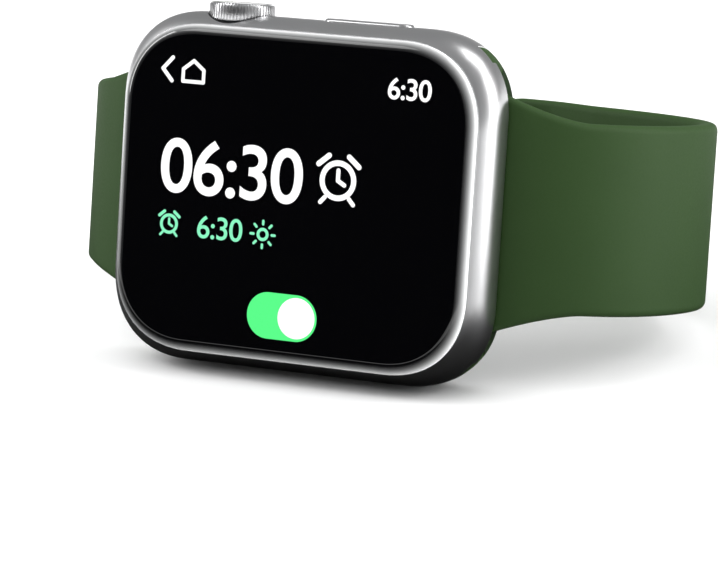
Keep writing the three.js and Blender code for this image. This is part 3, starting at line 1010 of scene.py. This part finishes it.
@dataclass
class DisplayPicture:
    """What the display shows: times in numerals, a back arrow, pictograms and a switch.

    Args:
        front: depth of the glass's front.
        proud: how far the lit shapes stand on it.
        arrow: X and Z of the back arrow's corners.
        house: X and Z of the house's corners.
        switch_at: Z of the switch's middle.
        track: half length and half width of its track.
        knob: radius of its knob, and the knob's X.
    """

    front: float = -CASE_DEPTH
    proud: float = 0.012
    arrow: tuple[tuple[float, float], ...] = ((-15.6, 14.5), (-16.8, 13.2), (-15.6, 11.9))
    house: tuple[tuple[float, float], ...] = (
        (-14.2, 13.3), (-12.9, 14.3), (-11.6, 13.3), (-11.6, 11.95), (-14.2, 11.95),
    )
    switch_at: float = -13.25
    track: tuple[float, float] = (4.35, 2.6)
    knob: tuple[float, float] = (2.3, 1.8)

    def lay(self, name: str, mesh: bmesh.types.BMesh, finish: Lit) -> None:
        """Hands one lit shape to the case.

        Args:
            name: the shape's name.
            mesh: the shape in the case frame.
            finish: its light.
        """
        Piece(name, "case_body", finish, "black_glass").finished(mesh)

    def numerals(
        self, name: str, text: str, size: float, left: float, base: float, finish: Lit,
        weight: float,
    ) -> None:
        """Sets numerals on the glass.

        Args:
            name: the piece's name.
            text: digits and colons only.
            size: height of the font in millimetres.
            left: X of the first digit's left edge.
            base: Z of the line that the digits stand on.
            finish: the light they show.
            weight: extra stroke width in millimetres.
        """
        curve = bpy.data.curves.new(name, "FONT")
        curve.body = text
        curve.size = size
        curve.offset = weight
        curve.space_character = 0.95
        holder = bpy.data.objects.new(name + "_curve", curve)
        bpy.context.scene.collection.objects.link(holder)
        bpy.context.view_layer.update()
        flat = holder.evaluated_get(bpy.context.evaluated_depsgraph_get())
        mesh = bmesh.new()
        mesh.from_mesh(flat.to_mesh())
        bpy.data.objects.remove(holder, do_unlink=True)
        bmesh.ops.remove_doubles(mesh, verts=mesh.verts, dist=1e-4)
        stand = Matrix(((1, 0, 0, left), (0, 0, -1, self.front), (0, 1, 0, base), (0, 0, 0, 1)))
        bmesh.ops.transform(mesh, matrix=stand, verts=mesh.verts)
        self.lay(name, self.raised(mesh), finish)

    def raised(self, mesh: bmesh.types.BMesh) -> bmesh.types.BMesh:
        """Gives a flat shape its thin body on the glass.

        Args:
            mesh: the flat shape, which is changed.
        Returns:
            The same mesh, now closed.
        """
        made = bmesh.ops.extrude_face_region(mesh, geom=list(mesh.faces))["geom"]
        verts = [item for item in made if isinstance(item, bmesh.types.BMVert)]
        bmesh.ops.translate(mesh, vec=(0, -self.proud, 0), verts=verts)
        bmesh.ops.recalc_face_normals(mesh, faces=mesh.faces)
        return mesh

    def stroke(
        self, start: tuple[float, float], end: tuple[float, float], width: float
    ) -> bmesh.types.BMesh:
        """A raised straight stroke with round ends.

        Args:
            start: X and Z of one end.
            end: X and Z of the other end.
            width: its width.
        Returns:
            The raised stroke.
        """
        run = Vector((end[0] - start[0], 0, end[1] - start[1]))
        half = width / 2
        outline = soft_rectangle(run.length / 2 + half, half, half * 0.999, steps=8)
        low, high = self.front, self.front - self.proud
        mesh = drawn_out([(outline, low), (outline, high)])
        turn = Matrix.Rotation(-math.atan2(run.z, run.x), 4, "Y")
        middle = Vector(((start[0] + end[0]) / 2, 0, (start[1] + end[1]) / 2))
        bmesh.ops.transform(mesh, matrix=Matrix.Translation(middle) @ turn, verts=mesh.verts)
        return mesh

    def ring(self, centre: tuple[float, float], radius: float, width: float) -> bmesh.types.BMesh:
        """A raised round ring.

        Args:
            centre: X and Z of its middle.
            radius: its outer radius.
            width: the width of its stroke.
        Returns:
            The raised ring.
        """
        outer = pill(radius, radius, 16)
        inner = pill(radius - width, radius - width, 16)
        low, high = self.front, self.front - self.proud
        levels = [(inner, low), (inner, high), (outer, high), (outer, low)]
        return drawn_out(levels, centre=centre, closed=True)

    def picture(self, name: str, parts: Iterable[bmesh.types.BMesh], finish: Lit) -> None:
        """Joins raised shapes into one lit piece.

        Args:
            name: the piece's name.
            parts: its shapes, which are freed.
            finish: their light.
        """
        whole = bmesh.new()
        for part in parts:
            data = bpy.data.meshes.new("part")
            part.to_mesh(data)
            part.free()
            whole.from_mesh(data)
            bpy.data.meshes.remove(data)
        self.lay(name, whole, finish)

    def sun(
        self, centre: tuple[float, float], radius: float, width: float
    ) -> list[bmesh.types.BMesh]:
        """A sun as a pictogram: a ring with eight rays.

        Args:
            centre: X and Z of its middle.
            radius: outer radius of the ring.
            width: width of its strokes.
        Returns:
            Its raised shapes.
        """
        parts = [self.ring(centre, radius, width)]
        for step in range(8):
            turn = step * math.pi / 4
            near, far = (
                (centre[0] + reach * math.cos(turn), centre[1] + reach * math.sin(turn))
                for reach in (radius + 0.4, radius + 0.75)
            )
            parts.append(self.stroke(near, far, width * 0.85))
        return parts

    def alarm_clock(
        self, centre: tuple[float, float], radius: float, width: float
    ) -> list[bmesh.types.BMesh]:
        """An alarm clock as a pictogram: a round face, two hands, two bells and two feet.

        Args:
            centre: X and Z of the middle of its face.
            radius: outer radius of its face.
            width: width of its strokes.
        Returns:
            Its raised shapes.
        """
        x, z = centre
        parts = [self.ring(centre, radius, width)]
        parts.append(self.stroke((x, z), (x, z + radius * 0.5), width * 0.8))
        parts.append(self.stroke((x, z), (x + radius * 0.36, z - radius * 0.2), width * 0.8))
        for side in (-1, 1):
            bell = [(x + side * radius * a, z + radius * b) for a, b in ((0.55, 1.2), (1.1, 0.75))]
            foot = [(x + side * radius * a, z - radius * b) for a, b in ((0.66, 0.86), (0.9, 1.12))]
            parts.append(self.stroke(*bell, width))
            parts.append(self.stroke(*foot, width * 0.8))
        return parts

    def switch(self) -> None:
        """The slide switch, on, with its knob at the right."""
        low, high = self.front, self.front - self.proud
        track = pill(*self.track, 24)
        mesh = drawn_out([(track, low), (track, high)], centre=(0, self.switch_at))
        self.lay("display_switch_track", mesh, GREEN_LIGHT)
        radius, x = self.knob
        knob = pill(radius, radius, 24)
        levels = [(knob, high), (knob, high - self.proud)]
        mesh = drawn_out(levels, centre=(x, self.switch_at))
        self.lay("display_switch_knob", mesh, WHITE_LIGHT)

    def build(self) -> None:
        """Lays out the whole picture."""
        strokes = [self.stroke(*ends, 0.45) for ends in zip(self.arrow, self.arrow[1:])]
        self.picture("display_back_arrow", strokes, WHITE_LIGHT)
        walls = zip(self.house, self.house[1:] + self.house[:1])
        strokes = [self.stroke(*ends, 0.42) for ends in walls]
        self.picture("display_house", strokes, WHITE_LIGHT)
        self.numerals("display_time", "6:30", 3.3, 11.2, 12.05, WHITE_LIGHT, 0.05)
        self.numerals("display_alarm", "06:30", 8.6, -16.5, -0.5, WHITE_LIGHT, 0.1)
        self.picture("display_alarm_clock", self.alarm_clock((5.9, 2.5), 2.25, 0.62), WHITE_LIGHT)
        self.picture("display_small_clock", self.alarm_clock((-14.9, -4.2), 1.15, 0.36), MINT_LIGHT)
        self.numerals("display_alarm_small", "6:30", 3.6, -11.4, -5.4, MINT_LIGHT, 0.03)
        self.picture("display_sun", self.sun((-3.0, -4.3), 0.75, 0.36), MINT_LIGHT)
        self.switch()


# ---------------------------------------------------------------- crown and side button


@dataclass
class Crown:
    """The knurled crown with its dished end.

    Args:
        radius: radius over the knurls.
        low: height of its underside.
        top: height of its end.
        teeth: how many knurls it has.
        groove: depth of the cuts between them.
    """

    radius: float = 3.7
    low: float = 18.95
    top: float = 21.0
    teeth: int = 60
    groove: float = 0.13

    def outline(self, shrink: float) -> list[tuple[float, float]]:
        """The knurled outline at one radius.

        Args:
            shrink: how far inside the full radius it lies.
        Returns:
            Points in order round the axis.
        """
        points = []
        for tooth in range(self.teeth):
            for part, drop in ((0.0, self.groove), (0.22, self.groove), (0.4, 0.0), (0.82, 0.0)):
                angle = (tooth + part) / self.teeth * 2 * math.pi
                reach = self.radius - shrink - drop * max(0.0, 1 - shrink / 0.5)
                points.append((reach * math.cos(angle), reach * math.sin(angle)))
        return points

    def build(self) -> None:
        """Makes the knob."""
        lip = self.radius - 2.9
        profile = [(lip + 0.3, self.low), (0.35, self.low)]
        profile += [(0.12, self.low + 0.1), (0.0, self.low + 0.3)]
        profile += [(0.0, self.top - 0.32), (0.1, self.top - 0.12), (0.3, self.top)]
        profile += [(lip - 0.08, self.top), (lip, self.top - 0.06), (lip, self.top - 0.4)]
        levels = [(self.outline(shrink), height) for shrink, height in profile]
        mesh = drawn_out(levels, Along.CROWN_SIDE, (CROWN_X, CONTROL_DEPTH))
        Piece("crown", "crown", SATIN_STEEL, "polished_steel", ("crown_knob",)).finished(mesh)


@dataclass
class SideButton:
    """The long side button with softly rounded edges.

    Args:
        half_length: half its length.
        half_width: half its width.
        low: height of its underside.
        top: height of its face.
        round: radius of its edge.
    """

    half_length: float = 5.4
    half_width: float = 1.3
    low: float = 17.75
    top: float = 20.05
    round: float = 0.35

    def build(self) -> None:
        """Makes the button."""
        profile = [(0.1, self.low), (0.0, self.low + 0.1)]
        for inset, drop in reversed(rounded(6, self.round, self.round)):
            profile.append((inset, self.top - drop))
        profile.append((self.round + 0.05, self.top))
        levels = [
            (pill(self.half_length - inset, self.half_width - inset, 20), height)
            for inset, height in profile
        ]
        mesh = drawn_out(levels, Along.CROWN_SIDE, (BUTTON_X, CONTROL_DEPTH))
        piece = Piece(
            "side_button_cap", "side_button_body", SATIN_STEEL, "polished_steel", ("side_button",)
        )
        piece.finished(mesh)


# ---------------------------------------------------------------- wrist side


@dataclass
class WristSide:
    """The back crystal, turned as one shallow dome.

    Args:
        profile: radius and depth, from the axis inside to the axis at the wrist.
    """

    profile: tuple[tuple[float, float], ...] = (
        (0, -1.5), (12.7, -1.5), (13, -1.2), (13, -0.9), (12.6, -0.72), (11.6, -0.46),
        (10.4, -0.24), (9.2, -0.09), (8.2, -0.02), (7.5, 0), (7.3, 0), (0, 0),
    )

    def build(self) -> None:
        """Makes the crystal."""
        mesh = turned(self.profile, Vector((0, 0, 0)), Vector((0, 1, 0)), 128)
        Piece("crystal", "case_body", ZIRCONIA, "black_ceramic", ("back_crystal",)).finished(mesh)


# ---------------------------------------------------------------- band


class LoopPath:
    """The outside of the closed band seen along Z, from the 12 o'clock lug to the 6 o'clock lug."""

    def __init__(self, start: float, outer: float, rear: float) -> None:
        """Samples the loop finely.

        Args:
            start: distance of both ends from the middle of the case.
            outer: depth of the band's outside at the case.
            rear: depth of the band's outside at the back of the loop.
        """
        knots = [
            ((-start, outer), (-31, outer), (-34.8, 4.5), (-34.8, 13)),
            ((-34.8, 13), (-34.8, 28), (-17, rear), (0, rear)),
            ((0, rear), (20, rear), (38.8, 32), (38.8, 15)),
            ((38.8, 15), (38.8, 4), (33, outer), (start, outer)),
        ]
        self.points: list[Vector] = []
        for knot in knots:
            run = interpolate_bezier(*[Vector((x, y, 0)) for x, y in knot], 161)
            self.points += run if not self.points else run[1:]
            if knot is knots[1]:
                middle = len(self.points) - 1
        self.lengths = [0.0]
        for here, there in zip(self.points, self.points[1:]):
            self.lengths.append(self.lengths[-1] + (there - here).length)
        self.length = self.lengths[-1]
        self.middle = self.lengths[middle]

    def at(self, along: float) -> tuple[Vector, Vector]:
        """A point on the loop and the direction outwards there.

        Args:
            along: distance from the 12 o'clock lug.
        Returns:
            The point and the outward direction.
        """
        along = min(max(along, 0.0), self.length)
        low, high = 0, len(self.lengths) - 1
        while high - low > 1:
            half = (low + high) // 2
            low, high = (half, high) if self.lengths[half] <= along else (low, half)
        here, there = self.points[low], self.points[high]
        share = (along - self.lengths[low]) / (self.lengths[high] - self.lengths[low])
        ahead = self.points[min(high + 1, len(self.points) - 1)]
        direction = (ahead - self.points[max(low - 1, 0)]).normalized()
        return here.lerp(there, share), Vector((-direction.y, direction.x, 0))


def ease(low: float, high: float, at: float) -> float:
    """A smooth step from 0 to 1 between two places.

    Args:
        low: the place up to which it is 0.
        high: the place from which it is 1.
        at: the place asked for.
    Returns:
        The step's value there.
    """
    share = min(max((at - low) / (high - low), 0.0), 1.0)
    return share * share * (3 - 2 * share)


@dataclass
class Band:
    """The closed rubber band in its two halves, with the stud that closes it.

    Args:
        thickness: thickness of the band.
        neck: thickness where it passes the channel's mouth.
        tuck: thickness of the tail that is laid over and tucked in.
        half_width: half its width round the wrist.
        lug_half_width: half its width at the case.
        tail_half_width: half the width of the tucked tail.
        lug_x: distance of the loop's ends from the middle of the case.
        lug_depth: depth of the band's outside at the case.
        rear: depth of the back of the loop.
        layer_gap: clearance between the layers.
        overrun: how far the short half reaches past the stud.
        tail: how far the long half reaches past the stud, tucked in.
        hole_radius: radius of the holes for the stud.
        holes: distances of the holes from the stud along the long half.
        stud_seat: radius of the stud's seat inside the short half.
        slot: distances before the stud at which the tail's slot starts and ends.
    """

    thickness: float = 2.2
    neck: float = 1.8
    tuck: float = 1.7
    half_width: float = 10.6
    lug_half_width: float = 13.6
    tail_half_width: float = 8.2
    lug_x: float = 21.25
    lug_depth: float = -4.5
    rear: float = 38.5
    layer_gap: float = 0.3
    overrun: float = 7.0
    tail: float = 36.0
    hole_radius: float = 2.1
    holes: tuple[float, ...] = (-28, -21, 0, 7, 22)
    stud_seat: float = 3.7
    slot: tuple[float, float] = (18.0, 4.5)

    def __post_init__(self) -> None:
        """Lays out the loop."""
        self.path = LoopPath(self.lug_x, self.lug_depth, self.rear)

    def lug_thickness(self, distance: float) -> float:
        """Thickness near a lug, which starts thin enough to pass the channel's mouth."""
        return self.neck + (self.thickness - self.neck) * ease(2, 6, distance)

    def flare(self, distance: float) -> float:
        """Half width near a lug, at a distance from it."""
        share = min(distance / 11.5, 1)
        return self.half_width + (self.lug_half_width - self.half_width) * (1 - share) ** 1.5

    def strip(
        self,
        stations: Sequence[float],
        lift: Callable[[float], float],
        depth: Callable[[float], float],
        reach: Callable[[float], float],
    ) -> bmesh.types.BMesh:
        """Draws one half of the band through its stations.

        Args:
            stations: distances along the loop.
            lift: how far its outside lies beyond the loop.
            depth: its thickness.
            reach: its half width.
        Returns:
            The closed strip.
        """
        rings = []
        for along in stations:
            point, out = self.path.at(along)
            half = depth(along) / 2
            centre = point + out * (lift(along) - half)
            section = soft_rectangle(reach(along), half, half * 0.86, 2.3, 7)
            rings.append([centre + out * v + Vector((0, 0, u)) for u, v in section])
        return through_rings(rings)

    def hole(self, along: float, radius: float, inner: float, outer: float) -> bmesh.types.BMesh:
        """A round cutter through the band at one place.

        Args:
            along: the place along the loop.
            radius: its radius.
            inner: how far outside the loop it starts.
            outer: how far outside the loop it ends.
        Returns:
            The cutter.
        """
        point, out = self.path.at(along)
        return rod_cutter(radius, point + out * inner, point + out * outer, 40)

    def tip(self, distance: float, length: float, half: float) -> float:
        """Half width of a rounded tip.

        Args:
            distance: distance from the band's end.
            length: length of the rounding.
            half: half width where the rounding starts.
        Returns:
            The half width at that distance.
        """
        share = min(distance / length, 1.0)
        return half * max(1 - (1 - share) ** 2.4, 0.0) ** 0.5

    def buckle_half(self) -> None:
        """The 12 o'clock half, with the stud's seat and the slot for the tail."""
        middle = self.path.middle
        end = middle + self.overrun
        stations = [end * step / 150 for step in range(147)]
        stations += [end - 3.3 * (1 - math.sin(step * math.pi / 24)) for step in range(1, 12)]
        stations = sorted(set(stations)) + [end - 0.02]

        def depth(along: float) -> float:
            """Thickness of the short half, rounded off at its end."""
            return min(self.lug_thickness(along), 0.9 + 2.6 * math.sqrt(max(end - along, 0)))

        def lift(along: float) -> float:
            """How far the short half's outside sinks where its end is rounded off."""
            return -(self.thickness - depth(along)) / 2 if along > end - 3 else 0.0

        def reach(along: float) -> float:
            """Half width of the short half."""
            return max(self.tip(end - along, 5.5, self.flare(along)), 4.0)

        cuts = [
            self.hole(middle, self.hole_radius, -3, 1),
            self.hole(middle, self.stud_seat, -3, 0.7 - self.thickness),
            self.slot_cutter(middle - self.slot[0], middle - self.slot[1], self.half_width - 2),
        ]
        blank = self.strip(stations, lift, depth, reach)
        self.half("band_short_half", "band_buckle_half", blank, cuts)

    def half(
        self, name: str, node: str, blank: bmesh.types.BMesh, cuts: list[bmesh.types.BMesh]
    ) -> None:
        """Cuts one half of the band and hands it over.

        Args:
            name: the piece's name.
            node: the CAD node that it replaces.
            blank: the half before it is cut.
            cuts: what is cut out of it.
        """
        piece = Piece(name, "band", FLUOROELASTOMER, "green_rubber", (node,))
        piece.finished(carve(blank, cuts))

    def slot_cutter(self, low: float, high: float, reach: float) -> bmesh.types.BMesh:
        """A cutter for the slot that the tail passes.

        Args:
            low: where it starts along the loop.
            high: where it ends.
            reach: half its width.
        Returns:
            The cutter.
        """
        section = soft_rectangle(reach, 4, 1, 2, 5)
        rings = []
        for step in range(13):
            point, out = self.path.at(low + (high - low) * step / 12)
            rings.append([point + out * v + Vector((0, 0, u)) for u, v in section])
        return through_rings(rings)

    def tail_lift(self, along: float) -> float:
        """How far the long half lies outside the loop.

        Args:
            along: the place along the loop.
        Returns:
            The distance, below 0 where the tail is tucked inside.
        """
        place = along - self.path.middle
        over = self.tuck + self.layer_gap
        under = -self.thickness - self.layer_gap
        lifted = over * (1 - ease(9, 18, place))
        return lifted + (under - over) * (1 - ease(-17, -5.5, place))

    def strap_half(self) -> None:
        """The 6 o'clock half, holed, laid over the stud and tucked inside."""
        middle, length = self.path.middle, self.path.length
        start = middle - self.tail
        stations = [start + 0.02]
        stations += [start + 6 * (1 - math.cos(step * math.pi / 24)) for step in range(1, 12)]
        first = stations[-1]
        stations += [first + (length - first) * step / 190 for step in range(1, 191)]

        def depth(along: float) -> float:
            """Thickness of the long half."""
            thinned = 1 - ease(10, 20, along - middle)
            full = self.lug_thickness(length - along) - (self.thickness - self.tuck) * thinned
            return min(full, 0.6 + 1.3 * math.sqrt(max(along - start, 0)))

        def reach(along: float) -> float:
            """Half width of the long half."""
            narrowed = (self.half_width - self.tail_half_width) * (1 - ease(-4, 6, along - middle))
            full = self.flare(length - along) - narrowed
            return max(self.tip(along - start, 6.5, full), 0.8)

        cuts = [self.hole(middle + place, self.hole_radius, -6, 4) for place in self.holes]
        blank = self.strip(stations, self.tail_lift, depth, reach)
        self.half("band_long_half", "band_strap_half", blank, cuts)

    def stud(self) -> None:
        """The steel stud with its base inside and its head outside."""
        face = self.rear - self.thickness
        profile = [
            (0, face + 0.05), (3.2, face + 0.05), (3.4, face + 0.2), (3.4, face + 0.55),
            (1.8, face + 0.56), (1.8, 40.9), (2.65, 40.9), (2.8, 41.0), (2.8, 41.25), (2.6, 41.5),
            (2.1, 41.66), (1.2, 41.7), (0, 41.7),
        ]
        mesh = turned(profile, Vector((0, 0, 0)), Vector((0, 1, 0)), 64)
        Piece("stud", "band", SATIN_STEEL, "polished_steel", ("band_stud",)).finished(mesh)

    def build(self) -> None:
        """Makes both halves and the stud."""
        self.buckle_half()
        self.strap_half()
        self.stud()


# ---------------------------------------------------------------- pieces kept from the CAD model


@dataclass(frozen=True)
class KeptPieces:
    """The CAD pieces whose shape is already right, and what each is made of."""

    finishes: tuple[tuple[Finish, tuple[str, ...]], ...] = (
        (SEAL_SILICONE, ("display_gasket", "back_gasket", "crown_seal_1", "crown_seal_2")),
        (COVER_GLASS, ("display_panel",)),
        (ZIRCONIA, ("back_cover", "crown_cap")),
        (ENAMELLED_COPPER, ("display_ribbon", "charging_coil")),
        (SOLDER_MASK, ("logic_board", "sensor_board")),
        (POUCH_FOIL, ("battery",)),
        (TURNED_BRASS, ("crown_sleeve", "microphone")),
        (FILLED_NYLON, ("speaker", "crown_pusher", "crown_switch", "side_button_switch")),
        (SATIN_STEEL, ("release_button_12", "release_button_6")),
        (SPRING_STEEL, (
            "haptic_motor", "crown_shaft", "crown_bracket", "side_button_bracket",
            "latch_pin_12", "latch_pin_6", "board_screw_1", "board_screw_2", "board_screw_3",
            "board_screw_4",
        )),
    )

    def dress(self) -> None:
        """Gives each kept piece its material."""
        for finish, names in self.finishes:
            for name in names:
                data = frame["nodes"][name].data
                data.materials.clear()
                data.materials.append(finish.material())
                LOG.info("%s: kept, %s", name, finish.name)


# ---------------------------------------------------------------- studio


@dataclass(frozen=True)
class Softbox:
    """A rectangular studio light.

    Args:
        name: its name.
        place: where it stands, in metres.
        aim: the point that it faces.
        size: its width and height.
        power: its power in watts.
        diffuse: whether it lights matt surfaces.
        glossy: whether shiny surfaces mirror it.
    """

    name: str
    place: tuple[float, float, float]
    aim: tuple[float, float, float]
    size: tuple[float, float]
    power: float
    diffuse: bool = True
    glossy: bool = True

    def build(self) -> None:
        """Hangs the light."""
        data = bpy.data.lights.new(self.name, "AREA")
        data.shape = "RECTANGLE"
        data.size, data.size_y = self.size
        data.energy = self.power
        lamp = bpy.data.objects.new(self.name, data)
        bpy.context.scene.collection.objects.link(lamp)
        lamp.location = self.place
        lamp.visible_diffuse = self.diffuse
        lamp.visible_glossy = self.glossy
        towards = Vector(self.aim) - Vector(self.place)
        lamp.rotation_euler = towards.to_track_quat("-Z", "Y").to_euler()


@dataclass
class Studio:
    """Camera, pale floor, soft light and surroundings.

    Args:
        eye: the camera's place in the case frame, in millimetres.
        target: the point it looks at, in the case frame.
        roll: its turn about its line of sight, in degrees.
        lens: focal length in millimetres on a 36 mm sensor.
        floor_half: half the floor's side in metres.
    """

    eye: tuple[float, float, float] = (200.96, -409.46, 35.17)
    target: tuple[float, float, float] = (6.56, -4.99, -9.64)
    roll: float = 3.64
    lens: float = 202.4
    floor_half: float = 4.0

    def camera(self) -> None:
        """Sets up the camera."""
        data = bpy.data.cameras.new("camera")
        data.lens = self.lens
        data.sensor_width = 36
        data.clip_start, data.clip_end = 0.02, 20
        eye, target = CASE.point(*self.eye), CASE.point(*self.target)
        back = (eye - target).normalized()
        right = CASE.direction(0, 0, 1).cross(back).normalized()
        up = back.cross(right)
        turn = math.radians(self.roll)
        tilted = right * math.cos(turn) + up * math.sin(turn)
        above = back.cross(tilted)
        pose = Matrix((tilted, above, back)).transposed().to_4x4()
        camera = bpy.data.objects.new("camera", data)
        bpy.context.scene.collection.objects.link(camera)
        camera.matrix_world = Matrix.Translation(eye) @ pose
        bpy.context.scene.camera = camera

    def floor(self) -> None:
        """Lays the pale floor."""
        mesh = bmesh.new()
        bmesh.ops.create_grid(mesh, x_segments=1, y_segments=1, size=self.floor_half)
        made = as_object(mesh, "floor")
        made.data.materials.append(FLOOR_PAINT.material())

    def world(self) -> None:
        """Fills the surroundings with an even dim light."""
        world = bpy.data.worlds.new("studio")
        bpy.context.scene.world = world
        world.use_nodes = True
        tree = world.node_tree
        tree.nodes.clear()
        sky = add_node(tree, "ShaderNodeBackground", {"Color": linear("#fdfeff"), "Strength": 0.3})
        show(tree, sky, "World")

    def flag(self, name: str, half: tuple[float, float], place: Matrix) -> None:
        """Stands a black card, which only mirror images show, so that what faces it looks dark.

        Args:
            name: the card's name.
            half: half its width and height in metres.
            place: turns the flat card and moves it to its place.
        """
        mesh = bmesh.new()
        bmesh.ops.create_grid(mesh, x_segments=1, y_segments=1, size=1)
        bmesh.ops.scale(mesh, vec=(*half, 1), verts=mesh.verts)
        bmesh.ops.transform(mesh, matrix=place, verts=mesh.verts)
        made = as_object(mesh, name)
        made.data.materials.append(BLACK_CLOTH.material())
        made.visible_camera = False
        made.visible_shadow = False
        made.visible_diffuse = False

    def overhead(self) -> None:
        """Lights the floor evenly from above, with a light too broad to make a hard shadow."""
        data = bpy.data.lights.new("overhead", "SUN")
        data.energy = 2.7
        data.angle = math.radians(120)
        made = bpy.data.objects.new("overhead", data)
        made.visible_glossy = False
        bpy.context.scene.collection.objects.link(made)

    def build(self) -> None:
        """Sets up everything round the watch."""
        self.camera()
        self.floor()
        self.world()
        upright = Matrix.Rotation(math.pi / 2, 4, "X")
        self.flag("flag_front", (0.85, 0.26), Matrix.Translation((-0.05, -0.95, 0.262)) @ upright)
        # Painted shade: a black card on the floor under the watch, which only mirror images show,
        # darkens the case's lower wall as the shaded floor beneath would.
        self.flag("flag_painted_shade_below", (0.1, 0.08), Matrix.Translation((-0.01, 0.0, 0.0003)))
        middle = (0.0, 0.0, 0.02)
        lights = [
            Softbox("key", (0.6, 0.2, 0.2), middle, (0.16, 0.5), 2.6, diffuse=False),
            Softbox("wash", (0.55, 0.15, 0.25), middle, (0.4, 0.4), 3.0, glossy=False),
            Softbox("left", (-0.6, -0.2, 0.3), middle, (0.12, 0.5), 2.2),
            Softbox("ceiling", (-0.33, -0.3, 0.6), middle, (0.3, 0.2), 0.7),
            Softbox("corner", (0.33, 0.2, 0.56), middle, (0.25, 0.36), 1.1, diffuse=False),
        ]
        for light in lights:
            light.build()
        self.overhead()
        bpy.context.scene.view_settings.view_transform = "Standard"


def main() -> None:
    """Builds the watch and the studio round it."""
    logging.basicConfig(level=logging.INFO, format="%(name)s: %(message)s")
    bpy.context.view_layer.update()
    Studio().build()
    Housing().build()
    DisplayGlass().build()
    DisplayPicture().build()
    Crown().build()
    SideButton().build()
    WristSide().build()
    Band().build()
    KeptPieces().dress()


if __name__ == "__main__":
    main()
